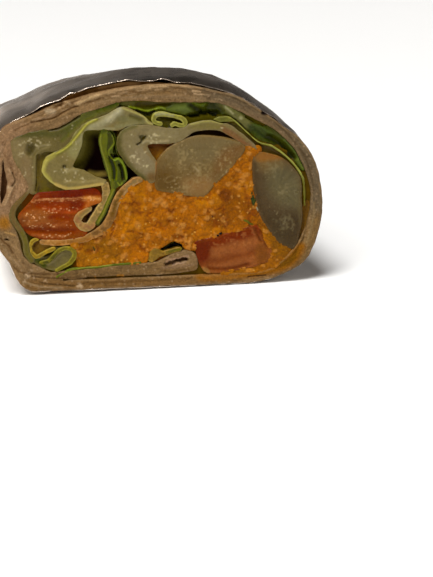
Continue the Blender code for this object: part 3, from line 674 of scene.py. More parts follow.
CUCUMBER = food("cucumber", grain=1.1, mottle=0.05, roughness=0.34, spread=0.1, bump=0.25, bump_size=0.45,
                glow=0.3, glow_radius=(1.4, 1.1, 0.6), glints=(186, 168, 122), glint_size=0.9,
                glint_share=0.7)
PATTY = food("lentil mash", grain=0.5, mottle=0.14, roughness=0.40, spread=0.16, bump=0.45, bump_size=0.45,
             glow=0.12, glow_radius=(0.9, 0.5, 0.1), specular=0.06, glints=(232, 180, 104), glint_size=0.8,
             glint_share=0.4, light=(1.03, 0.98, 0.5))
MURK = food("shaded leaf", grain=0.8, mottle=0.12, roughness=0.75, spread=0.1, bump=0.15, specular=0.01)
HERB = food("herb", grain=0.3, mottle=0.2, roughness=0.4, bump=0.3)


# --------------------------------------------------------------------------
# The flatbread
# --------------------------------------------------------------------------
FLAKES = 64               # flaky strokes along the top edge
TOP_EDGE = np.array([(-34, 49.8), (-30, 51.2), (-26, 52.7), (-22, 53.9), (-16, 55.6), (-10, 56.8), (-6, 57.2),
                     (0, 57.5), (4.4, 57.7), (10, 57.4), (15, 56.6), (20, 55.3)]).T


def bread_paint(points, edge):
    x, z = points.T
    outside = BREAD_LOOPS[0]
    skin, along = distance(points, outside, closed=True)
    p = Paint(points, (129, 99, 64))
    # painted light and shade round the ring: lighter on the left where the light falls, darker on the right
    # and along the bottom
    p.field([(-46, 20), (-46, 46), (-36, 50), (-33, 45), (-37, 36), (-34, 29), (-39, 22)],
            (144, 109, 75), 3.0)
    p.field([(14, 60), (40, 50), (50, 34), (50, 20), (43, 20), (41, 34), (33, 45), (16, 53)],
            (101, 83, 60), 4.0)
    p.field([(40, 46), (48, 34), (49, 18), (44, 16), (42, 34)], (104, 86, 62), 2.0)
    p.field([(48, 18), (48, 8), (38, 0), (34, 4), (42, 12), (44, 18)], (122, 92, 55), 2.0)
    p.field([(-34, 3.4), (0, 2.8), (20, 2.8), (20, -1.5), (-38, -1.5)], (122, 88, 50), 1.0)
    p.field([(-30, 5.6), (-6, 6.6), (8, 6.4), (12, 5), (8, 2.9), (-26, 2.8)], (118, 89, 54), 0.8)
    # crumb
    p.layer[:, 0], p.layer[:, 1] = along, skin
    p.tone(0.08 * wave(x, z, 7.0, 5) + 0.06 * wave(along, skin * 2.5, 3.0, 4))
    layers = rough(0.22 * along + 0.4 * wave(x, z, 3.0, 201), 1.6 * skin + 0.5 * wave(x, z, 2.2, 202),
                   1.0, 203, 2)
    p.tone(0.18 * layers)
    p.depth -= 0.12 * layers
    seam = smoothstep(0.86, 0.99,
                      1 - np.abs(wave(0.12 * along, 0.9 * skin + 0.3 * wave(x, z, 4.0, 204), 1.0, 205)))
    p.lay(0.30 * seam * smoothstep(-0.2, 0.6, wave(x, z, 6.0, 206)), (84, 58, 32), 0.12)
    pore, _, number = cells(x, z, 1.1, 207)
    p.lay(0.55 * (number > 0.84) * (1 - smoothstep(0.10, 0.30, pore)), (78, 52, 30), 0.16)
    p.lay(0.40 * (number < 0.20) * (1 - smoothstep(0.10, 0.34, pore)), (186, 152, 112), -0.08)
    p.depth += 0.10 * wave(along, skin * 2.2, 2.0, 6) + 0.08 * rough(x, z, 1.2, 7, 2)
    # the browned, flaky top
    p.line([(-34, 49.8), (-30, 51.2), (-26, 52.7), (-22, 53.9), (-16, 55.6), (-10, 56.8)],
           1.3, (119, 88, 56), 0.6)
    p.line([(-15.6, 55.4), (-10.3, 56.5), (-6.1, 57.2), (-0.8, 57.5), (4.4, 57.7), (10, 57.4), (15, 56.6)],
           0.7, (166, 132, 90), 0.4, -0.1)
    p.line([(-19.4, 53.5), (-17.6, 54.4), (-15.4, 55.2), (-13.6, 55.8)], 0.9, (182, 147, 100), 0.4, -0.15)
    p.field([(-28.9, 52.1), (-27.3, 52.5), (-25.6, 51.8), (-26.4, 50.9), (-28.2, 51)],
            (162, 136, 101), 0.4, -0.25)
    # the darkest strokes pressed deep here are holes and cracks in the crust, painted dark as shade
    p.field([(-26.4, 53.4), (-24.1, 53.9), (-22.9, 54.4), (-23.6, 53.2), (-25.2, 52.5)],
            (74, 47, 22), 0.35, 1.2)
    p.line([(-23.4, 54.5), (-22.4, 54.2), (-21.8, 53.4)], 0.6, (170, 138, 98), 0.25, -0.3)
    p.line([(-22.4, 54.7), (-20.4, 55.2), (-18.6, 55.6)], 0.6, (84, 54, 26), 0.35, 0.7)
    p.line([(-12, 54.4), (-8, 55), (-2, 55.6), (6, 55.6)], 0.5, (110, 82, 48), 0.5, 0.1)
    p.line([(-14, 53.4), (-8, 54.6), (0, 54.7), (8, 54.2), (16, 53.4)], 0.5, (140, 112, 78), 0.5, 0.0, 0.7)
    draw = random.Random(33)
    for _ in range(FLAKES):
        fx = draw.uniform(-32, 19)
        ridge = np.interp([fx - 1.0, fx, fx + 1.1], *TOP_EDGE) - draw.uniform(0.15, 2.0)
        pale = draw.random() < 0.62
        p.line([(fx - 1.0, ridge[0]), (fx, ridge[1] + draw.uniform(-0.2, 0.2)),
                (fx + 1.1, ridge[2])], draw.uniform(0.12, 0.4),
               (190, 154, 110) if pale else (88, 58, 30), 0.2, -0.06 if pale else 0.14,
               draw.uniform(0.3, 0.75))
    # grooves between layers and folds, and gaps at the fillings and the foil: dark lines painted as shade in
    # them, with paler lines beside
    groove_shade = (84, 52, 25)
    p.line([(-32.5, 48.7), (-29.9, 49.1), (-27.4, 49.4), (-25.6, 50), (-23.9, 51), (-21.7, 52.1),
            (-19.4, 52.8)],
           0.36, groove_shade, 0.3, 0.45)
    p.line([(-31.5, 49.5), (-28.4, 49.9), (-26, 50.7)], 0.5, (150, 118, 84), 0.4, -0.1)
    p.line([(-37.5, 46.6), (-34.5, 47.8), (-32.4, 48.6)], 0.3, (112, 80, 50), 0.4, 0.15)
    p.line([(20, 54.9), (26, 52.4), (30, 49.9), (34.5, 46.7), (40, 40.8), (43.8, 34.5), (45.6, 27)], 0.35,
           (80, 62, 40), 0.4, 0.15)
    p.line([(22, 55), (27, 52.6), (31, 49.9)], 0.3, (136, 116, 88), 0.3, -0.05, 0.8)
    p.line([(44.6, 26.6), (44.2, 21.4), (43.4, 16.6), (41.6, 11), (38.2, 6.4), (35.2, 4.9)], 0.35,
           (72, 50, 22), 0.35, 0.3)
    p.line([(45.6, 22), (44.8, 16.6), (43, 11), (39.6, 6.2)], 0.6, (134, 108, 70), 0.4, -0.05, 0.8)
    p.line([(-18.8, 3.05), (-16, 3), (-12, 3), (-9.2, 3.3)], 0.55, (70, 38, 8), 0.25, 0.7)
    p.line([(-34.4, 4.2), (-30, 3.6), (-24, 3.2), (-18.6, 3)], 0.3, (92, 62, 34), 0.3, 0.35)
    p.line([(-32, 2.4), (-29.5, 1.8), (-26, 1.4), (-22.5, 0.9)], 0.3, (92, 66, 38), 0.3, 0.3)
    p.line([(-36.4, 2.6), (-32, 1.2), (-26, 0.6)], 0.4, (150, 122, 86), 0.4, -0.1)
    p.line([(-20, 1.6), (-10, 1.5), (0, 1.6), (10, 1.8)], 0.3, (98, 68, 36), 0.4, 0.15)
    p.line([(-40.6, 9), (-38.6, 6.4), (-36.2, 5.2), (-32, 4.8), (-27, 4.5)], 0.35, (96, 66, 38), 0.35, 0.3)
    p.line([(-41.6, 12.4), (-39.8, 9.6), (-37.6, 7.4)], 0.5, (146, 116, 80), 0.4, -0.15)
    p.line([(-8, 3.2), (0, 3), (6, 3.1), (11, 3.2)], 0.3, (95, 66, 36), 0.4, 0.3)
    p.line([(-38.6, 16.3), (-40, 16.9), (-41.2, 17.2)], 0.35, (185, 140, 80), 0.3, -0.1)
    p.line([(-42.6, 15.6), (-41.6, 14.3), (-40.4, 13.2), (-39.4, 11.2)], 0.35, (92, 60, 32), 0.35, 0.4)
    p.line([(-37.2, 15.4), (-38.4, 13.6), (-37.6, 11.4)], 0.5, (150, 116, 74), 0.4)
    p.line([(-38.6, 21.8), (-39.6, 26), (-38, 30.6), (-38.6, 35.2), (-40.4, 40)],
           0.4, (112, 80, 52), 0.5, 0.15)
    p.line([(-42.6, 24), (-43.6, 30), (-43, 37), (-41.2, 42)], 0.4, (158, 124, 90), 0.5, -0.1)
    # ragged lips of the slit at the left, its inside painted dark as shade
    p.line([(-39.6, 35.4), (-38.4, 33.6), (-38, 31.4), (-39, 29.4), (-40, 27.4), (-41, 25.2)], 0.5,
           (168, 134, 94), 0.3, -0.25)
    p.line([(-38.6, 34.4), (-37.9, 32), (-38.8, 30.4)], 0.35, (70, 44, 22), 0.25, 0.6)
    # the torn slit of the flap, its gap painted dark as shade
    p.line([(3.6, 6.8), (5.6, 7.4), (7.6, 7.6), (9.4, 8.2)], 0.7, (160, 122, 92), 0.35, -0.1)
    p.line([(3.4, 5.9), (4.6, 6.5), (5.4, 6.3), (6.4, 7), (7.4, 6.8), (8.2, 7.4), (9.2, 7.3)], 0.7,
           (60, 34, 20), 0.22, 0.9)
    p.line([(5.2, 5.7), (6.4, 6.2), (7.8, 6.2), (9, 6.7)], 0.35, (176, 140, 110), 0.25, -0.1, 0.8)
    p.line([(2.4, 5.2), (5.4, 5.2), (8.6, 5.6), (10.8, 5.8)], 0.7, (138, 106, 74), 0.5, -0.05)
    p.line([(2.2, 4.3), (5.4, 4.1), (9.6, 4.3)], 0.4, (98, 70, 40), 0.4, 0.1)
    # pale floury flakes
    for fx, fz, size in ((-20.5, 0.8, 0.85), (-33.4, 4.1, 0.5), (-35.6, 4.6, 0.6), (-36.9, 2.6, 0.6),
                         (-40.2, 30.2, 0.5), (-41.8, 29.6, 0.4), (3.2, 53.9, 0.4), (-1.8, 55.1, 0.35),
                         (14, 53.3, 0.3), (1.4, 2.9, 0.4), (-0.3, 54.2, 0.35), (10.4, 54.6, 0.3),
                         (36.8, 43.2, 0.35), (-30.6, 2.9, 0.4)):
        p.dust(fx, fz, 1.3 * size, 0.9, 1.5, (192, 160, 120))
    # juice that has soaked in
    p.field([(12, 3.2), (20, 3.4), (30, 4.6), (36, 6.6), (40.4, 10.4), (42.6, 9.6), (39, 4.4), (32, 1.8),
             (20, 0.9), (13, 1)], (137, 84, 26), 0.9)
    p.field([(34, 5.4), (37.5, 6.2), (40.6, 9.4), (39.6, 6.2), (36, 4)], (108, 70, 18), 0.7)
    p.line([(13.6, 2), (18, 1.9), (23, 1.8)], 0.9, (150, 96, 40), 0.5)
    p.line([(26.2, 1.5), (28.6, 1.7), (31.1, 1.8)], 0.3, (44, 26, 12), 0.2, 0.4)
    p.spot(30.6, 4.2, 0.35, (214, 186, 150), 0.2, -0.2)
    p.spot(-41.4, 20.0, 1.9, (150, 98, 36), 1.2)
    p.line([(-10.2, 3.3), (-9, 3.3)], 0.8, (178, 112, 20), 0.3, -0.2)
    p.line([(-16.7, 3.4), (-16.4, 2.8)], 0.4, (172, 106, 20), 0.2, -0.1)
    p.line([(40.8, 12.5), (42.2, 16.5)], 1.4, (92, 62, 22), 0.6)
    # the skin of the inside, moist against the fillings
    inner = np.min([distance(points, loop, closed=True)[0] for loop in BREAD_LOOPS[1:]], axis=0)
    p.lay(0.3 * (1 - smoothstep(0.0, 0.5, inner)), (148, 116, 76))
    # the browned outer skin
    crust = 1 - smoothstep(0.1, 0.4, skin + 0.15 * wave(x, z, 1.2, 8))
    p.lay(0.6 * crust, (140, 110, 74))
    # a small hole near the top, painted dark as shade
    p.spot(33.0, 48.5, 0.7, (30, 22, 12), 0.3, 1.2, 1.0, 1.5)
    return p


# the walls that run back are darker: painted shade, deepest far in
def shaded_bread_wall(colours, level):
    return colours * np.array([0.82, 0.74, 0.66]) if level < 6 else colours * 0.6


# the top of the bread at the right is drawn in, so that it stays under the foil
BREAD_TUCK = 0.8
BREAD_LOOPS = [even(loop, 0.3, 0.3) for loop in node_loops("flatbread")]
tucked = smoothstep(10, 20, BREAD_LOOPS[0][:, 0]) * smoothstep(43, 38, BREAD_LOOPS[0][:, 0])
tucked = tucked * (BREAD_LOOPS[0][:, 1] > 36)
BREAD_LOOPS[0] = grown(BREAD_LOOPS[0], (-BREAD_TUCK * tucked)[:, None])
dress(slab("flatbread_cut", BREAD_LOOPS, bread_paint, BREAD, back=BREAD_END - BREAD_SHORT, spacing=0.30,
           rim=0.3, grow=0.25, wall=shaded_bread_wall, ragged=0.12), "flatbread", "flatbread")


# --------------------------------------------------------------------------
# Tomato and cucumber
# --------------------------------------------------------------------------
def tomato_left_paint(points, edge):
    x, z = points.T
    p = Paint(points, (128, 62, 25))
    # the skin side above, with a glossy ridge along it whose highlight is painted in pale lines
    p.field([(-34, 29.4), (-12, 29.6), (-12, 26.6), (-20, 26.2), (-31, 26.2)], (106, 38, 2), 0.4, -0.2)
    p.line([(-31.4, 27.4), (-28.6, 27.7), (-26.4, 27.7)], 0.9, (124, 50, 2), 0.7)
    p.field([(-18.6, 28), (-14.2, 27.6), (-14, 25), (-16.4, 24.4), (-19, 24), (-18.6, 26)],
            (112, 44, 3), 0.6, -0.1)
    p.field([(-19.2, 26.5), (-16.6, 26.8), (-13.9, 26.4), (-13.8, 24.6), (-16.4, 23.7), (-19, 23.4)],
            (170, 98, 42), 0.5, -0.1)
    p.line([(-18.6, 26.2), (-15.9, 26.1), (-14.4, 25.6)], 0.6, (206, 146, 84), 0.35, -0.1)
    p.line([(-31.4, 26.2), (-28.6, 26.2), (-25.6, 26)], 0.6, (178, 108, 66), 0.4, -0.15)
    p.line([(-30.6, 26.3), (-27.4, 26.4), (-22.6, 26.2), (-19.4, 26.5)],
           0.25, (214, 150, 106), 0.2, -0.05, 0.5)
    p.line([(-25.6, 26), (-22.4, 25.8), (-19.6, 26.1)], 0.5, (150, 84, 46), 0.35, -0.1)
    p.field([(-31.5, 25.6), (-20, 25.5), (-18.4, 24.2), (-20.6, 22.8), (-24, 22.2), (-31, 22.8)],
            (139, 58, 18), 0.7, 0.4)
    p.field([(-22.6, 25.2), (-19.4, 25), (-19.6, 23), (-22.4, 22.6)], (119, 46, 6), 0.6)
    p.line([(-29.8, 23.9), (-27.2, 22.7), (-24.4, 22.2), (-21.4, 22.3)], 0.7, (150, 70, 38), 0.5)
    # the pale juicy lobe and the folds under it
    p.field([(-37.5, 20.8), (-35.2, 22.8), (-32.2, 23.6), (-29.2, 22.6), (-27.6, 20.8), (-29, 19.4),
             (-34, 18.6)],
            (143, 86, 47), 0.8, -0.3)
    p.line([(-32.4, 18.9), (-29.6, 19.1), (-26.6, 18.7), (-24.4, 18.9)], 1.2, (140, 77, 41), 0.6, -0.1)
    p.line([(-28.6, 21), (-25.6, 21.4), (-23.4, 20.6)], 1.2, (123, 50, 10), 0.7, 0.2)
    p.line([(-35.4, 17.9), (-31, 17.3), (-26.4, 17), (-22, 16.9)], 1.2, (112, 49, 11), 0.7, 0.35)
    p.line([(-33.6, 16.2), (-30, 15.7), (-27.4, 15.5), (-24.6, 15.2)], 0.9, (146, 82, 43), 0.4, -0.1)
    p.line([(-24.4, 15.1), (-22, 15.3), (-19.8, 15.9)], 0.9, (127, 69, 26), 0.5)
    p.spot(-36.4, 20.4, 1.2, (96, 48, 18), 0.9, 0.3, 0.5)
    p.line([(-33.6, 26.6), (-31.8, 27.4)], 0.8, (146, 82, 56), 0.5)
    # painted glints: small highlights scattered over the flesh and along the glossy ridge
    draw = random.Random(31)
    for _ in range(110):
        gx = draw.uniform(-35, -14.5)
        low, high = draw.choice(((25.5, 26.4), (25.2, 26.6), (22.6, 25.6), (15.0, 22.6)))
        p.spot(gx, draw.uniform(low, high), draw.uniform(0.05, 0.14), (226, 166, 124), 0.12, -0.04,
               draw.uniform(0.1, 0.6), draw.uniform(1.2, 3.4))
    for low_x, high_x, low, high in ((-37, -30, 20.2, 22.8), (-31, -19, 25.7, 26.5), (-30, -22, 15.3, 16.4),
                                     (-35, -22, 17.8, 19.6), (-19, -14, 25.4, 26.9), (-31, -20, 22.2, 24.0)):
        for _ in range(26):
            p.spot(draw.uniform(low_x, high_x), draw.uniform(low, high), draw.uniform(0.04, 0.09),
                   (246, 208, 176), 0.08, -0.04, draw.uniform(0.35, 0.95), draw.uniform(1.0, 2.6))
    for gx, gz in ((-27.6, 23.1), (-25.2, 25.7), (-21.8, 25.6), (-17.2, 26.6), (-33.0, 21.3), (-31.5, 21.3),
                   (-29.4, 19.3), (-26.0, 15.6), (-28.2, 15.2), (-35.2, 21.9), (-30.8, 16.0), (-16.0, 25.8)):
        p.spot(gx, gz, 0.16, (226, 170, 134), 0.14, -0.1, 0.8, 1.5)
    p.tone(0.12 * rough(x, z, 1.0, 21) + 0.06 * wave(x, z, 3.0, 22))
    p.depth += 0.14 * rough(x, z, 1.6, 23)
    return p


def tomato_right_paint(points, edge):
    x, z = points.T
    p = Paint(points, (158, 96, 58))
    rise = z - 12.0 - 0.23 * (x - 12.0) + 0.3 * wave(x, z, 2.0, 24)
    p.lay(smoothstep(-3.8, -1.6, rise), (126, 54, 20))
    p.lay(0.8 * smoothstep(-1.2, -0.4, rise), (134, 58, 14))
    low = smoothstep(-5.2, -6.6, rise) * smoothstep(-8.4, -7.0, rise)
    p.lay(0.6 * low, (116, 56, 18), 0.1)
    fleck = smoothstep(0.25, 0.7, wave(x, z, 0.6, 29)) * smoothstep(-5.8, -4.0, rise)
    p.lay(0.35 * fleck, (196, 132, 88), -0.04)
    p.field([(11, 12.6), (15.4, 12.8), (16, 9), (15, 6.6), (12, 6.4)], (112, 46, 14), 1.0)
    p.line([(22.6, 9.4), (25.2, 9.2), (27.8, 10.4)], 1.4, (156, 94, 56), 0.9)
    p.line([(15.2, 4.5), (18.6, 4.1), (22.6, 4.3), (26.4, 5.2)], 0.9, (113, 56, 16), 0.6, 0.15)
    p.field([(12.6, 3.6), (20, 3), (30, 3.8), (30.5, 1.6), (12, 1.4)], (142, 88, 40), 0.7)
    p.field([(13.2, 4.4), (14.4, 4.7), (15.6, 3.6), (15, 2.7), (13.5, 2.8)], (158, 116, 72), 0.35, -0.25)
    p.line([(28.6, 15.2), (29.4, 13.2), (30.2, 11.6)], 0.7, (106, 54, 18), 0.5, 0.25)
    p.line([(30.2, 14.6), (31, 12.2), (31.4, 10.4)], 0.8, (114, 62, 16), 0.6)
    p.field([(29.6, 11), (31.6, 10), (32.6, 7.2), (30.8, 4.6), (28.4, 5.4), (28.6, 9)], (140, 86, 42), 0.9)
    p.line([(13, 12.1), (20, 13.7), (28, 15.9)], 0.5, (130, 62, 14), 0.4, -0.05)
    # patchy, and darkened by a fifth overall: painted shade that offsets the floor's bounce, which lights
    # this low piece more
    p.tone(0.09 * rough(x, z, 0.9, 25) + 0.06 * wave(x, z, 3.0, 26)
           + 0.06 * rough(x * 2.2, z, 1.2, 28) - 0.20)
    p.depth += 0.10 * rough(x, z, 1.4, 27)
    return p


def seed_ring(p, x, z, long, short, turn, colour):
    """A seed seen through wet flesh: a faint pointed ring."""
    t = np.linspace(0, 2 * math.pi, 13)[:-1]
    c, s = math.cos(math.radians(turn)), math.sin(math.radians(turn))
    ring = [(x + long * math.cos(a) * c - short * math.sin(a) * s,
             z + long * math.cos(a) * s + short * math.sin(a) * c)
            for a in t]
    p.line(ring + ring[:1], 0.22, colour, 0.22, -0.08, 0.6)


def cucumber_middle_paint(points, edge):
    x, z = points.T
    p = Paint(points, (112, 90, 50))
    p.field([(6, 40), (14, 42.5), (24, 41), (22, 36), (14, 35), (8, 36)], (117, 100, 63), 3.0)
    p.field([(9, 30), (16, 31), (18, 28.5), (15, 25.6), (10, 26.4)], (136, 102, 57), 2.0)
    p.field([(1, 33), (6, 33), (8, 28), (1, 27)], (98, 73, 32), 2.0)
    p.field([(20, 38), (27, 40), (25, 36), (20, 32), (17.5, 31)], (116, 84, 44), 1.8)
    p.line([(3.6, 37.4), (8, 40.8), (14, 42.4), (20, 41.8), (25.6, 40)], 0.5, (124, 108, 70), 0.4, -0.05, 0.7)
    p.line([(4, 35), (10, 38.6), (17, 39.2)], 0.6, (100, 82, 46), 0.7, 0.05, 0.5)
    for ring in ((11.0, 29.4, 1.5, 0.9, 40), (12.9, 33.9, 1.3, 0.7, 120), (5.4, 30.6, 1.4, 0.8, 20),
                 (16.4, 30.6, 1.2, 0.7, 70), (8.6, 34.2, 1.2, 0.7, 150)):
        seed_ring(p, *ring, (138, 116, 74))
    p.line([(12.4, 33.9), (13.6, 32.6)], 0.4, (165, 145, 105), 0.3, -0.1, 0.7)
    p.dusts(((14, 33, 4.0, 1.4), (8, 37, 3.0, 1.2), (20, 37, 3.0, 1.2), (10, 28, 2.6, 1.4)), 0.5,
            (170, 148, 98))
    p.lay(0.35 * (1 - smoothstep(0.1, 1.0, edge)), (130, 98, 48))
    fleck = smoothstep(0.55, 0.85, wave(x, z, 0.45, 38)) * smoothstep(-0.2, 0.6, wave(x, z, 3.0, 39))
    p.lay(0.5 * fleck, (176, 152, 106), -0.04)
    p.tone(0.07 * rough(x, z, 2.4, 31) + 0.05 * rough(x, z * 0.4, 0.9, 32))
    p.depth += 0.08 * rough(x, z, 3.0, 33) + 0.03 * rough(x, z, 0.7, 34)
    return p


def cucumber_right_paint(points, edge):
    x, z = points.T
    p = Paint(points, (84, 67, 42))
    # lighter at the top and darker towards the bottom and along the left edge: painted light and shade
    p.field([(30, 36.6), (36, 36), (38, 33), (34, 31), (30, 33)], (114, 90, 50), 2.0)
    p.field([(34, 33), (40, 32), (42.6, 26), (42, 20), (36, 22), (33, 27)], (98, 88, 58), 2.6)
    p.field([(32, 19), (42, 19), (41, 10), (38, 9), (34, 13)], (71, 56, 34), 3.0)
    p.line([(29.2, 34), (29.2, 28), (30.2, 22), (32.6, 16.4)], 1.0, (72, 54, 30), 0.9)
    p.field([(29.6, 36.6), (32.6, 37.8), (36.4, 36.8), (37.4, 35.4), (34, 34.8), (30.4, 34.8)],
            (150, 96, 34), 0.8, 0.0, 0.75)
    middle_x, middle_z = 35.6, 26.6
    angle = np.arctan2(z - middle_z, x - middle_x)
    span = np.hypot(x - middle_x, z - middle_z)
    streak = (wave(angle * 9.0, np.full_like(x, 3.0), 1.0, 35)
              * smoothstep(0.4, 2.4, span) * smoothstep(8.5, 4.0, span))
    p.tone(0.22 * streak * smoothstep(-4.0, 1.5, x - middle_x))
    for ring in ((37.4, 21.4, 1.8, 0.8, 15), (33.6, 24.2, 1.5, 0.7, -40), (36.6, 17.6, 1.6, 0.7, 70)):
        seed_ring(p, *ring, (98, 86, 60))
    p.line([(41.6, 28), (41.4, 22), (41.3, 16)], 0.5, (98, 84, 50), 0.5, 0.0, 0.6)
    p.dusts(((38, 26, 3.0, 0.9), (34, 32, 2.6, 1.2), (37, 16, 3.0, 0.8)), 0.45, (146, 132, 92))
    p.lay(0.3 * (1 - smoothstep(0.1, 0.9, edge)), (106, 80, 44))
    fleck = smoothstep(0.6, 0.9, wave(x, z, 0.45, 40)) * smoothstep(-0.1, 0.7, wave(x, z, 3.0, 41))
    p.lay(0.5 * fleck, (150, 136, 98), -0.04)
    p.tone(0.07 * rough(x, z, 2.4, 36))
    p.depth += 0.08 * rough(x, z, 3.0, 37) + 0.05 * streak
    return p


for node, paint, material, slot, gap in (
    ("tomato_left", tomato_left_paint, TOMATO, "tomato", 0.28),
    ("tomato_right", tomato_right_paint, TOMATO, "tomato", 0.28),
    ("cucumber_middle", cucumber_middle_paint, CUCUMBER, "cucumber", 0.34),
    ("cucumber_right", cucumber_right_paint, CUCUMBER, "cucumber", 0.34),
):
    dress(slab(node + "_cut", node_loops(node)[:1], paint, material, front=0.1, spacing=gap, rim=0.06),
          slot, node)


# --------------------------------------------------------------------------
# Lettuce
# --------------------------------------------------------------------------
def left_rib_paint(points, edge):
    x, z = points.T
    p = Paint(points, (106, 93, 50))
    p.field([(-39, 44), (-35, 44), (-34, 38), (-38, 37)], (128, 111, 72), 2.2)
    p.field([(-36, 38), (-33.4, 38), (-33, 30), (-34.6, 28), (-36.5, 33)], (128, 107, 70), 1.4)
    p.line([(-36.8, 45.2), (-31, 45.4), (-26, 45), (-23, 46.2), (-20.4, 48)], 1.8, (84, 80, 36), 1.0)
    p.line([(-23, 47), (-18, 49.8), (-12, 51.8), (-8.4, 53.2)], 2.6, (86, 86, 32), 1.2)
    p.line([(-14, 52), (-10, 52.8), (-7.8, 53.6)], 1.6, (64, 72, 14), 0.8, 0.3)
    # a painted shadow under the bread, where the leaf dips
    p.line([(-27.8, 46.5), (-25.1, 46.9), (-22.6, 48.1), (-20.8, 49.1), (-19.4, 50)],
           0.9, (58, 44, 18), 0.5, 0.8)
    p.line([(-24.2, 43.2), (-21.4, 45.9), (-18.6, 48.4), (-15, 50.2)], 1.0, (92, 92, 34), 0.7, 0.2)
    # painted shade in the gap to the folded leaf
    p.line([(-31, 38.8), (-31.1, 36), (-31.3, 32), (-31.8, 29)], 1.1, (84, 68, 28), 0.4, 0.8)
    p.line([(-28.1, 41.4), (-30.2, 40.7), (-31.6, 39.3), (-32.2, 37.4), (-32.5, 34.5), (-32.8, 31.6)], 0.5,
           (140, 126, 82), 0.35, -0.12, 0.5)
    p.line([(-33.3, 38.9), (-32.4, 40.2), (-31.3, 41.3), (-29.8, 41.9), (-27.6, 42)], 0.5,
           (160, 146, 104), 0.4, -0.12, 0.55)
    # the pith hole, darker as painted shade
    p.field([(-33.8, 42.4), (-32, 42), (-32, 40.4), (-33.4, 39), (-34.4, 40.4)], (72, 62, 28), 0.8, 0.35)
    p.dusts(((-33.2, 43.2, 0.9, 1.6), (-30.8, 43.4, 1.0, 1.2), (-36.1, 41.8, 0.8, 0.8),
             (-35.8, 39.4, 0.8, 1.3), (-27.6, 42.8, 0.8, 1.3), (-26.2, 43.6, 0.6, 0.8),
             (-21.0, 47.0, 0.6, 0.8), (-33.2, 32.6, 0.9, 0.6), (-34.8, 36.2, 1.0, 0.8),
             (-31.6, 42.0, 0.7, 1.2), (-35.0, 33.6, 0.8, 1.0), (-33.2, 35.4, 0.6, 1.0)), 0.9)
    p.line([(-35.4, 28.2), (-37.4, 25.8), (-38.8, 23.2), (-38.8, 20.4), (-36.6, 17)], 1.0, (112, 88, 46), 0.5)
    p.line([(-36.6, 17), (-35.6, 14), (-35.4, 11), (-34.2, 8.9)], 0.8, (104, 94, 30), 0.4)
    p.tone(0.08 * rough(x, z, 2.0, 41) + 0.04 * wave(x, z, 0.7, 42))
    p.depth += 0.10 * rough(x, z, 2.4, 43)
    return p


def folded_paint(points, edge):
    x, z = points.T
    p = Paint(points, (126, 111, 64))
    p.field([(-28, 37), (-24, 39), (-22, 36), (-24, 32), (-28, 33.6)], (122, 108, 62), 1.5)
    p.field([(-22, 45), (-19, 46.6), (-18.6, 42), (-20.6, 38), (-23, 39.6)], (138, 130, 80), 1.2)
    p.line([(-20, 42.6), (-18.6, 45.4), (-17, 46.8)], 1.0, (142, 134, 96), 0.7, -0.1)
    # the pale arm: a painted highlight along its ridge and painted shade towards its tip
    p.line([(-17, 46.7), (-13.5, 47.5), (-10.6, 48.9), (-8, 50.6)], 2.4, (152, 144, 106), 1.0, -0.25)
    p.line([(-11.4, 48.6), (-9.8, 49.5), (-8.4, 50.6), (-7.6, 51.4)], 1.0, (172, 164, 128), 0.7, -0.1)
    p.line([(-16.8, 46.3), (-13, 46.1), (-9.6, 45.8)], 0.6, (150, 142, 98), 0.4)
    p.line([(-7.2, 48.4), (-5, 48.4), (-3, 48.2), (-1.6, 47.6)], 2.4, (114, 108, 66), 1.4, 0.15)
    p.line([(-4.8, 49.3), (-3.4, 48.8), (-2, 48.2)], 0.7, (84, 76, 30), 0.7, 0.3)
    p.line([(-8.8, 46.4), (-6, 46.6), (-3.4, 46.8)], 1.0, (128, 122, 82), 0.7)
    p.line([(-6.9, 51.6), (-4, 50.4), (-2, 49.4), (-0.7, 48.6), (-0.4, 47.7), (0.5, 46.9), (2.5, 46.5)], 0.5,
           (164, 155, 88), 0.3, -0.1)
    # the yellow rim, thin above and broad at the lower left
    rim = [(-14.5, 48.8), (-17, 47.6), (-18.8, 45.6), (-20.7, 43.4), (-22.1, 41.8), (-24.3, 40.2),
           (-26.8, 39.1), (-28.8, 37.6), (-29.7, 35.9), (-30, 34), (-28.4, 31.8), (-26.6, 30.4),
           (-24.2, 29.3), (-22.4, 28.9), (-17, 29.5), (-13.4, 30)]
    p.line(rim[:7], 1.3, (112, 106, 38), 0.5)
    p.line(rim[:7], 0.45, (172, 164, 70), 0.25, -0.12)
    p.line(rim[6:11], 1.5, (158, 148, 68), 0.5, -0.1)
    p.line(rim[7:12], 0.5, (180, 168, 86), 0.35, -0.1)
    p.line(rim[11:], 1.1, (182, 156, 84), 0.4, -0.1)
    # a small hole, painted dark as shade
    p.spot(-23.9, 35.5, 0.5, (80, 70, 34), 0.3, 0.5)
    p.line([(-23.4, 33.8), (-22, 34.6), (-20.4, 34.4)], 0.8, (146, 132, 86), 0.5)
    p.line([(-24, 31.2), (-20, 30.9), (-15, 31), (-13, 30.8)], 0.7, (148, 130, 76), 0.5, -0.05)
    p.line([(-19.6, 38.6), (-18.9, 41.6), (-18.6, 44.6)], 0.5, (146, 138, 92), 0.4)
    p.dusts(((-23.7, 38.3, 1.1, 0.7), (-20.8, 40.2, 0.7, 0.9), (-26.6, 34.3, 0.7, 1.2),
             (-23.8, 34.0, 1.0, 1.3), (-21.6, 33.4, 0.9, 1.3), (-20.6, 42.6, 0.6, 1.0),
             (-23.0, 31.3, 0.8, 1.4), (-18.6, 31.6, 0.8, 1.6), (-10.6, 48.7, 0.9, 1.2)), 0.9)
    p.tone(0.07 * rough(x, z, 1.8, 45) + 0.03 * wave(x, z, 0.6, 46))
    p.depth += 0.10 * rough(x, z, 2.2, 47)
    return p


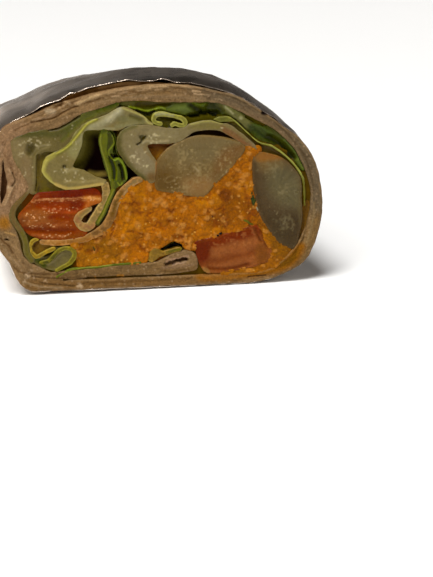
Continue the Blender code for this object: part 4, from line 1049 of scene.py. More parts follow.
def centre_rib_paint(points, edge):
    x, z = points.T
    p = Paint(points, (126, 112, 74))
    # painted shade down the left side
    p.line([(-8.4, 43), (-8.4, 39.8), (-6.4, 35.8), (-3.8, 32.8), (-1.6, 30.8)], 1.8, (88, 80, 36), 0.9, 0.15)
    p.line([(-8.2, 43.6), (-6.6, 45.4), (-3.4, 46.4)], 1.0, (104, 97, 52), 0.7)
    p.field([(-4.4, 40), (-1.6, 40), (0.8, 36), (0.6, 32), (-2, 33), (-5, 36.4)], (133, 118, 84), 1.2)
    p.field([(0, 45.6), (8, 44.4), (7, 42.4), (0, 42.6)], (133, 119, 80), 1.0)
    p.field([(11, 45.4), (16, 46.6), (21, 45.6), (20.6, 44.4), (13, 44.8)], (119, 107, 57), 0.8)
    p.field([(20.6, 45.4), (25, 43), (29.4, 39), (28, 38.8), (24, 42), (21, 44)], (120, 88, 52), 0.7)
    p.line([(12, 46.1), (14.5, 46.6), (17.5, 46.8), (20.5, 46.1)], 0.5, (150, 142, 76), 0.3, -0.08)
    p.line([(22, 45.4), (25.2, 43), (27.6, 40.6)], 0.5, (122, 106, 62), 0.4)
    p.line([(21, 43.9), (24, 41.8), (27, 39.8)], 0.6, (122, 80, 42), 0.4)
    p.line([(-1.8, 41.4), (-0.4, 42), (2, 41.5), (5.4, 41.7)], 0.6, (152, 138, 100), 0.35, -0.12)
    p.line([(-0.6, 40.9), (-1.2, 39.4), (0.2, 37.6), (1.6, 35.9)], 0.6, (126, 104, 64), 0.4)
    p.line([(1.9, 35.6), (1.8, 33.2), (1.5, 30.8)], 0.6, (150, 100, 48), 0.35)
    p.spot(0.4, 31.4, 1.4, (114, 86, 44), 1.0)
    # a crack and a small hollow, painted dark as their shade
    crack = [(-3.2, 41), (-2.3, 41.5), (-1.8, 42.2), (-0.9, 43.2)]
    p.line(crack, 0.5, (76, 68, 38), 0.25, 0.6)
    p.field([(-2.6, 43.4), (-1.6, 43.6), (-0.9, 42.9), (-1.5, 42.2), (-2.3, 42.4)], (84, 76, 44), 0.3, 0.5)
    p.dusts(((-4.5, 44.2, 0.7, 0.8), (-4.9, 42.7, 0.6, 0.8), (-4.6, 37.6, 1.0, 0.9), (-3.4, 36.3, 1.0, 0.8),
             (-1.2, 38.6, 0.6, 0.8), (-3.7, 38.7, 0.7, 1.0), (-1.0, 34.7, 0.7, 1.3), (0.6, 42.8, 0.9, 1.6),
             (2.6, 43.6, 0.7, 1.6), (6.3, 42.6, 0.5, 1.2), (2.4, 41.2, 0.7, 2.2), (-3.4, 33.8, 0.7, 1.2),
             (20.5, 44.7, 0.4, 1.0), (-5.4, 40.4, 0.6, 0.8), (-1.8, 36.4, 0.6, 1.0)), 0.95)
    p.tone(0.08 * rough(x, z, 1.8, 51) + 0.04 * wave(x, z, 0.6, 52))
    p.depth += 0.12 * rough(x, z, 2.4, 53)
    return p


def pleated_paint(points, edge):
    x, z = points.T
    p = Paint(points, (72, 78, 12))
    left = [(-11.8, 45), (-13.3, 44.2), (-13.6, 42.8), (-13.3, 39.9), (-12.5, 36.9), (-11.8, 33.7),
            (-11.3, 31)]
    right = [(-11.7, 44.7), (-11.6, 42.7), (-12, 39.8), (-11.5, 36.9), (-10.7, 34), (-10.5, 31.1)]
    second = [(-10.1, 44), (-9.7, 41.9), (-10.6, 40.5), (-11.4, 39.4), (-11.1, 38), (-10.2, 36.8),
              (-9.6, 35.4), (-9.3, 33.5), (-9.6, 31.1)]
    p.field(left + right[::-1], (94, 97, 22), 0.4)
    # the folds that lie deeper are painted darker, as their shade
    p.field(right[:4] + second[:5][::-1], (62, 64, 8), 0.3, 0.3)
    p.field(right[3:] + second[4:][::-1], (44, 48, 3), 0.3, 0.8)
    p.field([(-10.9, 38.6), (-9.2, 37.6), (-9.9, 36.8)], (34, 28, 5), 0.3, 1.0)
    p.line(left[1:], 0.35, (126, 128, 42), 0.25, -0.15)
    p.line(right, 0.35, (106, 112, 26), 0.25, -0.15)
    p.line(second, 0.35, (104, 112, 24), 0.25, -0.1)
    p.line([(-9.9, 36.8), (-8.8, 37.1), (-8, 36.4), (-7.3, 34.9), (-6.9, 33.1), (-6.6, 31)], 0.5,
           (118, 134, 32), 0.25, -0.2)
    # a deep fold, painted dark as shade
    p.line([(-8.4, 35.3), (-7.8, 33.6), (-7.6, 31.2)], 0.8, (38, 40, 2), 0.3, 0.9)
    p.line([(-10.6, 30.6), (-10.9, 28.6), (-12, 25.4), (-13.6, 22), (-15.2, 19.2)], 0.9, (98, 98, 18), 0.5)
    p.line([(-10.4, 28.2), (-12, 25), (-13.6, 21.6), (-15.2, 18.9)], 0.4, (128, 124, 38), 0.25, -0.1)
    p.line([(-9.2, 30.2), (-8.6, 29.3), (-8, 30)], 0.4, (120, 128, 34), 0.25, -0.1)
    p.tone(0.08 * rough(x, z, 1.4, 55))
    p.depth += 0.10 * rough(x, z, 1.6, 56)
    return p


def right_edge_paint(points, edge):
    """A thin leaf seen edge-on: a bright line above, and dim, wet leaf under it."""
    x, z = points.T
    p = Paint(points, (104, 98, 34))
    p.field([(18, 48.4), (24, 48.4), (26, 46), (22, 45.6), (18, 46.4)], (104, 102, 40), 0.5)
    p.line([(24.2, 47), (26, 44.8), (28.4, 42.2), (30.4, 40.6), (32.4, 40), (34.6, 39), (36.8, 37.2),
            (39.4, 34.8), (41.4, 32.2), (42.8, 29.4)], 0.6, (156, 156, 72), 0.3, -0.15)
    p.line([(42.4, 30.4), (43.5, 27.4), (43.8, 24), (43.9, 21)], 0.6, (126, 126, 58), 0.35, -0.1)
    p.line([(31, 40.4), (33, 39.7), (35, 38.9)], 0.4, (146, 144, 68), 0.25, -0.1)
    p.line([(17.6, 47.3), (19.6, 48), (22, 48), (24.4, 47)], 0.35, (140, 136, 62), 0.25, -0.1)
    p.line([(18.4, 46.9), (21, 46.4), (23.8, 46.6)], 0.35, (130, 126, 58), 0.25, -0.1)
    p.tone(0.10 * rough(x, z, 1.2, 57))
    p.depth += 0.10 * rough(x, z, 1.4, 58)
    return p


LEAF_SEED = 61


def plain_leaf(colour, edge_colour=None, strokes=()):
    """A narrow leaf: an even colour, brighter along its cut edges and darker away from them as painted shade,
    with a few strokes.
    """
    def paint(points, edge):
        x, z = points.T
        p = Paint(points, colour)
        if edge_colour:
            p.lay(1 - smoothstep(0.1, 0.4, edge), edge_colour)
        for stroke in strokes:
            p.line(*stroke)
        patch = smoothstep(0.15, 0.6, wave(x, z, 1.9, LEAF_SEED + 3))
        patch = patch * smoothstep(-0.1, 0.5, wave(x, z, 0.6, LEAF_SEED + 4))
        p.lay(0.55 * patch, tuple(min(235, 1.4 * part + 12) for part in colour), -0.06)
        vein = smoothstep(0.80, 0.98, 1 - np.abs(rough(x, z, 1.7, LEAF_SEED + 2, 2)))
        p.lay(0.45 * vein, tuple(min(255, 1.3 * part) for part in colour), -0.04)
        # darker away from the cut edges: painted shade
        p.tone(0.20 * rough(x, z, 1.4, LEAF_SEED) - 0.12 * smoothstep(0.3, 0.9, edge))
        p.depth += 0.12 * rough(x, z, 1.6, LEAF_SEED + 1)
        return p
    return paint


def top_shade_paint(points, edge):
    x, z = points.T
    p = Paint(points, (62, 66, 18))
    p.field([(-8, 53.6), (-3, 53.8), (0, 52.4), (-4, 51.6)], (84, 80, 34), 0.9)
    p.field([(-2, 53.4), (6, 52.8), (6, 51.8), (0, 51.4), (-3, 51.6)], (74, 66, 14), 0.6, 1.0)
    p.line([(-5, 51.8), (-2.6, 51.2), (-1, 50.5), (1.6, 50.6), (3.4, 51.4), (5, 50.8)],
           0.7, (104, 114, 26), 0.3, -0.5)
    # the darkest strokes, pressed deep, are the valleys between the folds, painted dark as shade
    p.line([(-3, 50.6), (0, 49.6), (2, 50.2)], 0.8, (52, 48, 8), 0.4, 1.6)
    p.field([(5, 50.4), (8, 51.8), (12, 52.4), (14, 51), (10, 49.6)], (84, 94, 42), 1.2, -0.4)
    p.field([(4, 51), (8, 50.4), (11, 49.2), (8, 49.2), (5, 50)], (76, 84, 18), 0.8)
    p.line([(12.4, 51.6), (14, 50.4), (15.6, 49.4)], 1.4, (40, 42, 7), 0.9, 1.3)
    p.line([(13, 52.4), (14.6, 51.6), (16.4, 51.9)], 0.9, (76, 86, 20), 0.5, -0.3)
    p.field([(17.4, 52.4), (20.2, 52.2), (21.4, 49.4), (20, 48.6), (16.4, 49.4)], (52, 55, 10), 0.8, 1.0)
    p.line([(11.6, 48), (14, 48.4), (17, 48.6), (19.4, 48.5)], 1.6, (38, 40, 8), 0.8, 1.8)
    p.line([(20.9, 52), (22.6, 50.4), (24.2, 48.8), (26.2, 47), (28, 45.2)], 2.6, (90, 87, 47), 0.7, -0.7)
    # painted highlights on the pale rib
    p.line([(21.8, 50.8), (23, 49.6), (23.8, 48.8)], 0.5, (138, 134, 96), 0.3, -0.1, 0.8)
    p.spot(26.0, 47.4, 0.5, (134, 130, 92), 0.3, -0.05, 0.8)
    p.field([(28, 45.4), (32, 44.6), (33.4, 42), (31, 41), (28.6, 43.6)], (54, 62, 14), 0.8, 0.2)
    p.line([(29.6, 45.2), (32.2, 44.2), (34.6, 42.2)], 0.7, (64, 76, 30), 0.4, -0.3)
    p.line([(30, 43.6), (32, 41.8), (34, 40.4)], 0.6, (44, 54, 10), 0.4, 0.4)
    p.line([(34, 41.4), (36.6, 39.4), (39, 36.8), (40.2, 35.2)], 1.6, (44, 46, 12), 0.8, 1.2)
    p.line([(34, 45.2), (38, 42), (41, 38.4), (43, 34)], 1.0, (56, 60, 20), 0.5)
    p.line([(38, 40.6), (40.4, 37.6), (41.8, 34.6), (43, 31.8)], 0.6, (72, 82, 34), 0.3, -0.4)
    p.line([(41.4, 34.4), (43, 31), (43.9, 28), (44.6, 25.2)], 0.9, (82, 90, 36), 0.4, -0.3)
    p.tone(0.28 + 0.14 * rough(x, z, 2.0, 71))
    p.depth += 0.25 * rough(x, z, 2.6, 72)
    return p


TOP_SHADE_FRONT = 0.8     # the leaf under the top of the bread stands this far behind the cut
# each leaf: its CAD node, paint, material, slot, the spacing of its mesh, and how far its outline grows
LEAVES = (
    ("leaf_left_rib", left_rib_paint, PALE_LEAF, "lettuce_pale", 0.26, 0.36),
    ("leaf_folded", folded_paint, PALE_LEAF, "lettuce_pale", 0.22, 0.22),
    ("leaf_centre_rib", centre_rib_paint, PALE_LEAF, "lettuce_pale", 0.24, 0.22),
    ("leaf_top_shade", top_shade_paint, GREEN_LEAF, "lettuce_green", 0.26, 0.22),
    ("leaf_top_curl", plain_leaf((128, 124, 52), (158, 152, 72), (
        ([(2.4, 49.4), (4.4, 49.6), (7, 49)], 0.8, (156, 152, 104), 0.4, -0.2),)),
     PALE_LEAF, "lettuce_pale", 0.18, 0.22),
    ("leaf_right_edge", right_edge_paint, GREEN_LEAF, "lettuce_green", 0.18, -0.2),
    ("leaf_pleated", pleated_paint, GREEN_LEAF, "lettuce_green", 0.15, 0.22),
    ("leaf_hook", plain_leaf((142, 116, 62), (164, 138, 86), (
        ([(-21.2, 20.4), (-20.2, 18.6), (-17.6, 17.8), (-15.6, 18.8)], 1.5, (158, 112, 66), 0.7),
        ([(-20.6, 21.6), (-18.6, 23.4), (-17, 24.2)], 0.9, (168, 118, 58), 0.5))),
     PALE_LEAF, "lettuce_pale", 0.2, 0.3),
    ("leaf_under_strip", plain_leaf((142, 102, 52), (156, 118, 70), (
        ([(-3.4, 30), (-6.4, 28.2), (-8.4, 25.4), (-9.8, 22.6)], 0.5, (172, 136, 86), 0.35, -0.05),
        ([(-13, 18.4), (-16.6, 16.4), (-21, 15), (-27, 14.4)], 0.35, (182, 140, 84), 0.3, -0.05),
        ([(-2.4, 31), (-4.4, 30.4), (-7, 28.6)], 1.2, (138, 112, 66), 0.6),
        ([(-8.4, 27.2), (-10, 24.4), (-11.2, 21)], 1.2, (116, 82, 24), 0.6),
        ([(-18, 14.8), (-24, 13.8), (-30, 13.9)], 1.2, (166, 116, 52), 0.6),
        ([(-2.6, 29.2), (-5, 27.2), (-7, 24.2), (-8.6, 20.8), (-11.4, 17.2), (-15.4, 14.8), (-20, 13.8),
          (-27, 13.2)],
         0.8, (158, 98, 24), 0.5, 0.12, 0.75),
        ([(-8.4, 23), (-10.8, 19.6), (-13.8, 17.3), (-17.5, 16)], 1.7, (116, 78, 28), 0.7, 0.0, 0.6))),
     PALE_LEAF, "lettuce_pale", 0.2, 0.42),
    ("leaf_corner_hook", plain_leaf((140, 112, 28), (158, 136, 48)), PALE_LEAF, "lettuce_pale", 0.18, 0.05),
    ("leaf_corner_loop", plain_leaf((112, 100, 24), (138, 128, 44), (
        ([(-31.6, 8), (-29.4, 8.4), (-27.4, 10.4)], 1.0, (82, 78, 14), 0.4),)),
     GREEN_LEAF, "lettuce_green", 0.18, 0.05),
    ("leaf_by_flap", plain_leaf((128, 98, 34), None, (
        ([(3.8, 9.6), (8, 10.5)], 0.8, (100, 92, 12), 0.3),)), PALE_LEAF, "lettuce_pale", 0.2, 0.22),
)


def shaded_leaf_wall(colours, level):
    """Walls of a leaf that run back into the dark keep the leaf's colour, darkened as painted shade."""
    return colours * (0.85 if level < 3 else 0.7)


for node, paint, material, slot, gap, wider in LEAVES:
    front = TOP_SHADE_FRONT if node == "leaf_top_shade" else 0.0
    dress(slab(node + "_cut", node_loops(node)[:1], paint, material, front=front, spacing=gap, rim=0.07,
               soften=0.2, grow=wider, wall=shaded_leaf_wall, ragged=0.12), slot, node)


# --------------------------------------------------------------------------
# Linings: leaf and mash that recede into the hollows between the pieces, painted dark as their shade
# --------------------------------------------------------------------------
def lining(colour, deep, rise, strokes=(), seed=81):
    """A funnel: it starts just behind the cut at its edge and falls away towards its middle."""
    def paint(points, edge):
        x, z = points.T
        p = Paint(points, colour)
        for stroke in strokes:
            p.line(*stroke)
        p.tone(0.12 * rough(x, z, 1.5, seed))
        p.depth += deep * (1 - np.exp(-edge / rise)) + 0.1 * rough(x, z, 1.2, seed + 1)
        return p
    return paint


HOLLOW_REACH = (24.0, 0.5)      # how deep a lining runs, and how far its outline grows
SKIN_IN_SHADE_REACH = (2.4, 0.0)
BED_DROP = 9.0            # how far the bed drops away behind the linings

# each lining: its name, outline, paint, material, slot, and how far behind the cut it starts
LININGS = (
    ("hollow_main", [(-18.2, 44.6), (-17, 45.6), (-13.4, 45.2), (-14, 42.4), (-13.3, 38), (-12.5, 34),
                     (-11.9, 32.2), (-15.3, 32.1), (-18.4, 34.3), (-21.3, 35.4), (-19.7, 38.2), (-18.5, 42)],
     lining((28, 20, 9), 4.6, 2.6, (
         ([(-17.6, 45.6), (-17.8, 43), (-17.9, 40), (-19, 37.6), (-21, 35.8)], 3.2, (92, 84, 34), 1.7),
         ([(-18.2, 44.8), (-18.3, 41), (-19.6, 38)], 1.2, (120, 112, 58), 1.1, 0.0, 0.7),
         ([(-17.4, 45.6), (-13, 45.2)], 2.4, (92, 86, 38), 1.4),
         ([(-16.8, 33.2), (-14.6, 32.6), (-12.2, 32.9)], 1.3, (112, 96, 46), 0.5, -0.8, 0.8))),
     MURK, "lettuce_pale", 0.4),
    ("hollow_left", [(-31.2, 31), (-31.2, 38.6), (-29.4, 40.3), (-26.2, 40.6), (-24, 42.4), (-23.4, 42),
                     (-25, 39.8), (-28.9, 38.4), (-30.2, 35.8), (-30.2, 33.6), (-27.8, 30.8), (-25, 29),
                     (-25.4, 28.4), (-31.4, 28.4)],
     lining((96, 82, 26), 0.9, 1.0, (
         ([(-30.9, 38.4), (-30.9, 33), (-31, 29.4)], 1.1, (104, 86, 30), 0.5),
         ([(-29.6, 39.8), (-26, 39.8), (-24, 41.2)], 0.9, (102, 88, 22), 0.5))),
     PALE_LEAF, "lettuce_pale", 0.35),
    ("hollow_pleat", [(-12.9, 45.1), (-11, 45.2), (-9.9, 44), (-9.5, 42), (-9.4, 39), (-8.6, 37),
                      (-7.3, 34.4), (-7.3, 32), (-8.2, 30.4), (-10.4, 29.2), (-11, 31), (-12, 35), (-13, 39),
                      (-13.2, 42.8)],
     lining((74, 82, 8), 1.0, 0.8, (
         ([(-11.7, 39), (-10.7, 35), (-10.2, 31)], 0.9, (38, 42, 2), 0.4, 1.2),
         ([(-9.4, 37.2), (-8.5, 34.4), (-8.4, 31.6)], 1.4, (36, 38, 2), 0.5, 1.8),
         ([(-10.4, 43.4), (-9.9, 41.4)], 0.7, (86, 92, 12), 0.4, -0.2))), GREEN_LEAF, "lettuce_green", 0.7),
    ("hollow_beside_pleat", [(-9.3, 45), (-8.8, 44.4), (-9, 41.6), (-8.4, 38.6), (-6.6, 35.4), (-4, 32.6),
                             (-2, 31.3), (-4.4, 31.2), (-6.8, 30.2), (-6.7, 33), (-8.2, 37), (-9.2, 40),
                             (-9.3, 43)],
     lining((34, 26, 5), 3.0, 1.0, (
         ([(-9, 44), (-9, 40.4)], 0.8, (74, 66, 14), 0.4),)), MURK, "lettuce_pale", 0.6),
    ("hollow_curl", [(2.2, 47.6), (2.4, 48.9), (4.2, 49.2), (7.2, 48.4), (9.4, 47.6), (10, 46.7), (9, 46.4),
                     (7.4, 47.1), (6.3, 46.4), (6.6, 45.3), (4.2, 45.7), (3, 46.6)],
     lining((84, 78, 14), 1.5, 0.7, (
         ([(3, 47.8), (3.6, 46.6), (5.6, 46.2)], 1.2, (98, 92, 16), 0.5),
         ([(4, 48.4), (7, 47.8), (9, 47.2)], 0.9, (66, 60, 14), 0.4, 0.5))), PALE_LEAF, "lettuce_pale", 0.5),
    ("hollow_hook", [(-14.5, 24.1), (-16.4, 23.5), (-18.3, 21.2), (-18.6, 19.6), (-17, 19), (-15.6, 20.2),
                     (-14.2, 22.6)],
     lining((80, 54, 14), 1.6, 0.7, (
         ([(-14.9, 23.6), (-16.4, 22.4), (-17.6, 20.6)], 0.8, (74, 32, 5), 0.4, 0.8),)),
     PALE_LEAF, "lettuce_pale", 0.5),
    ("hollow_stem", [(-11.6, 22.4), (-12.2, 20.4), (-13.7, 18.5), (-14.4, 18.9), (-13, 21.2), (-12, 23)],
     lining((62, 44, 18), 2.0, 0.8), PALE_LEAF, "lettuce_pale", 0.5),
    ("hollow_rib_pocket", [(-0.5, 40.5), (3, 40.8), (6.6, 40.5), (4.6, 38.7), (2.1, 36), (0.8, 37.8)],
     lining((104, 66, 8), 1.0, 1.0, (
         ([(0.4, 40.2), (3, 40.5), (6, 40.2)], 0.9, (88, 50, 4), 0.5, 0.3),
         ([(3.6, 38.6), (2.2, 37)], 1.0, (134, 92, 30), 0.6),)), PATTY, "patty", 0.5),
    ("hollow_over_cucumber", [(10.7, 42.5), (13.2, 44), (18, 44.3), (20.8, 43.5), (23.9, 41.6), (20, 42.3),
                              (14, 42.9)],
     lining((62, 46, 18), 1.8, 0.9, (
         ([(12.4, 43.2), (17, 43.9), (22, 42.6)], 0.9, (36, 24, 9), 0.6, 0.6),)), MURK, "lettuce_pale", 0.5),
    ("leaf_behind_edge", [(24.6, 45.9), (27.2, 43.3), (29.6, 40.8), (31.8, 39.2), (34.4, 38.4), (38.2, 35.6),
                          (34, 36.9), (30.8, 38.2), (29.2, 39.4), (26, 43), (22.6, 45.9)],
     lining((84, 66, 16), 0.8, 0.6, (
         ([(24, 45.8), (27, 43)], 1.2, (92, 80, 24), 0.5),)), PALE_LEAF, "lettuce_pale", 0.5),
    ("hollow_eyelet", [(19.2, 47.3), (20.6, 47), (23.2, 47), (22.4, 47.6), (20.4, 47.6)],
     lining((84, 80, 20), 0.6, 0.5), PALE_LEAF, "lettuce_pale", 0.4),
    ("corner_leaf", [(-33.6, 9), (-31.4, 10.2), (-27.4, 11.6), (-24.8, 11.8), (-23, 10.6), (-23.8, 8.4),
                     (-26, 7), (-27.6, 6), (-30, 6.6), (-32, 7.4)],
     lining((118, 106, 60), 0.5, 0.6, (
         ([(-33, 9.2), (-30.6, 7.2)], 1.3, (82, 92, 18), 0.5),
         ([(-29.6, 7.6), (-27.2, 9), (-25.6, 10.4)], 0.8, (138, 124, 78), 0.6, -0.2),
         ([(-30.4, 10.2), (-27.2, 11)], 0.9, (56, 42, 3), 0.3, 1.2))), PALE_LEAF, "lettuce_pale", 0.5),
    ("corner_leaf_hook", [(-34, 14), (-31.8, 14.9), (-30.2, 13.4), (-28.2, 12.4), (-30.4, 11.2),
                          (-32.6, 10.2), (-34.2, 12.2)],
     lining((128, 94, 22), 0.7, 0.6, (
         ([(-33.4, 12.9), (-32, 14.4)], 0.7, (96, 62, 8), 0.4, 0.4),)), PALE_LEAF, "lettuce_pale", 0.5),
    ("hollow_flap", [(2, 10.1), (4, 11.5), (6, 12.3), (8.2, 10.9), (5.4, 10.3), (3, 9.7)],
     lining((22, 14, 4), 3.0, 0.7, (
         ([(3, 9.9), (4.6, 11.2), (6, 11.9)], 0.3, (84, 80, 10), 0.15, -0.6),)),
     PALE_LEAF, "lettuce_pale", 0.4),
    # the bread's browned outer skin in the gap under the foil's lip, painted dark as the shade there
    ("browned_skin_in_shade", [(-29.4, 52.4), (-24, 54.4), (-21, 56), (-16.8, 57.2), (-10, 58.5), (-5, 59), (2, 58.6),
                      (8, 57.7), (12, 56.9), (17, 55.7), (16, 55), (10, 56), (0, 57), (-10, 56.1),
                      (-17, 54.4), (-24, 52.4), (-29, 50.8)],
     lining((82, 54, 28), 0.2, 0.6, (
         ([(-28, 52), (-23, 54.4), (-17, 56.4)], 0.7, (70, 42, 20), 0.4),
         ([(-13, 57.6), (-8, 58.3), (-2, 58.4)], 0.8, (118, 86, 52), 0.5),
         ([(0, 58), (8, 57.8), (14, 57.2)], 0.7, (76, 48, 24), 0.4))), BREAD, "flatbread", 1.5),
    ("hollow_side", [(42.8, 21), (43.8, 22.4), (43.9, 19.4), (42.6, 14.6), (40.6, 10.6), (39.8, 9.6),
                     (41.4, 13.6), (42.3, 18)],
     lining((104, 74, 30), 0.8, 0.8), PATTY, "patty", 0.5),
)


def bed_paint(points, edge):
    """What shows in the narrow gaps: moist leaf and mash close behind the fillings, painted in their colours
    in shade.
    """
    x, z = points.T
    p = Paint(points, (92, 70, 26))
    p.field([(-39, 47), (-10, 55), (20, 52), (32, 46), (30, 40), (14, 44), (0, 42), (-12, 46), (-14, 30),
             (-38, 30)],
            (74, 68, 24), 1.5)
    p.field([(-8, 30), (4, 31), (18, 25), (30, 36), (30, 16), (10, 13), (0, 6), (-24, 5), (-14, 16)],
            (124, 70, 10), 1.5)
    p.field([(-38, 24), (-36, 30), (-14, 30), (-12, 20), (-24, 14), (-36, 18)], (104, 62, 26), 1.0)
    p.field([(-37, 17), (-30, 14), (-22, 12), (-24, 5), (-34, 8)], (70, 64, 14), 1.0)
    p.field([(-40, 26), (-37, 27), (-35.6, 20), (-34.6, 12), (-38, 14), (-40, 20)], (88, 74, 36), 0.8)
    set_back = [curve(outline, closed=True) for name, outline, *_ in LININGS if name != "browned_skin_in_shade"]
    for loop in set_back + node_loops("leaf_top_shade")[:1]:
        p.lay(1.0 * within(points, loop), depth=BED_DROP)
    p.depth += 0.15 * rough(x, z, 1.5, 89)
    return p


UNDER_LEAF = curve([(-27.6, 3.7), (-25.6, 4.7), (-23.3, 5.8), (-19.4, 6), (-15.4, 6.1), (-10.7, 6.6),
                    (-5.6, 6.8), (-3.6, 6.9)])
UNDER_LEAF_WIDTH = 0.5


def under_leaf_paint(points, edge):
    x, z = points.T
    p = Paint(points, (92, 98, 18))
    p.line([(-25, 5), (-20, 6.1), (-12, 6.6)], 0.2, (140, 142, 48), 0.15, -0.05)
    p.tone(0.2 * wave(x, z, 2.0, 59))
    return p


leaf_line = np.vstack([UNDER_LEAF + (0, 0.5 * UNDER_LEAF_WIDTH),
                       UNDER_LEAF[::-1] - (0, 0.5 * UNDER_LEAF_WIDTH)])
dress(slab("leaf_under_mash", [leaf_line], under_leaf_paint, GREEN_LEAF, front=-0.1, back=HOLLOW_REACH[0],
           spacing=0.2, rim=0.1, soften=0.15, grow=0.05), "lettuce_green")

# the bread's slits, lined in a dark bread colour as painted shade
for k, loop in enumerate(BREAD_LOOPS[2:]):
    dress(slab("slit_%d" % k, [loop], lining((88, 58, 36), 0.6, 0.5, (), 87 + k), BREAD, front=1.0, back=18.0,
               spacing=0.3, rim=0.05, soften=0.1, grow=0.45), "flatbread")

dress(slab("filling_bed", [BREAD_LOOPS[1]], bed_paint, MURK, front=0.9, back=60.0, spacing=0.6, rim=0.05,
           grow=0.5), "lettuce_pale")

for name, outline, paint, material, slot, front in LININGS:
    loop = curve(outline, closed=True)
    back, grow = SKIN_IN_SHADE_REACH if name == "browned_skin_in_shade" else HOLLOW_REACH
    dress(slab(name, [loop], paint, material, front=front, back=back, spacing=0.3, rim=0.05, soften=0.1,
               grow=grow), slot)


# --------------------------------------------------------------------------
# The lentil patty
# --------------------------------------------------------------------------
SMALL_GRAINS, WET_LIGHTS = 380, 300
# the larger grains: x, z, size, length over width, turn
MAIN_GRAINS = ((2.2, 24.8, 1.0, 1.4, 0.5), (3.9, 23.2, 0.8, 1.4, 1.3), (8.2, 25.2, 0.8, 1.5, 2.6),
               (5.2, 19.6, 0.7, 1.3, 0.2), (8.2, 17.0, 0.9, 1.5, 0.3), (7.6, 15.2, 0.7, 1.7, 2.5),
               (-4.0, 17.6, 1.0, 1.3, 1.9), (8.8, 21.4, 0.7, 1.3, 0.8), (25.6, 29.6, 0.9, 1.3, 1.8),
               (26.8, 31.0, 0.7, 1.6, 0.1), (28.4, 33.6, 0.6, 2.0, 1.2), (27.9, 37.0, 0.7, 1.2, 0.2),
               (16.8, 23.6, 0.8, 1.3, 0.3), (19.8, 18.4, 0.6, 2.0, 1.5), (14.8, 20.8, 0.6, 1.7, 1.3),
               (-8.4, 9.0, 0.8, 1.5, 0.6), (0.4, 10.4, 0.9, 1.3, 0.3), (24.2, 27.4, 0.8, 1.6, 2.7),
               (-0.4, 28.9, 0.9, 1.3, 1.6), (1.1, 23.4, 0.8, 1.3, 2.2), (15.4, 18.9, 0.7, 1.5, 0.4),
               (9.8, 10.5, 0.8, 1.3, 1.0), (-15.6, 13.4, 0.6, 1.6, 0.3), (21.9, 28.5, 0.8, 1.3, 0.7))
CREVICES = (
    ([(-5.6, 23.7), (-4.6, 24.2), (-3.2, 23.6)], 0.8), ([(-5.6, 21.4), (-4.4, 21.2), (-3.2, 20.8)], 0.9),
    ([(-6.6, 15.9), (-5.2, 15.8), (-3.6, 15.2), (-2.6, 14.9)], 0.7), ([(4.4, 18.6), (6.4, 18.2)], 1.0),
    ([(4.4, 21.2), (6, 21.4)], 0.9), ([(-3.8, 11.9), (-3, 10.8), (-2, 9.8)], 0.7),
    ([(6.2, 13.8), (8.2, 13.6)], 1.2), ([(9.2, 25.7), (11.6, 25.4)], 0.8), ([(26.2, 27.6), (26.6, 24)], 1.0),
)


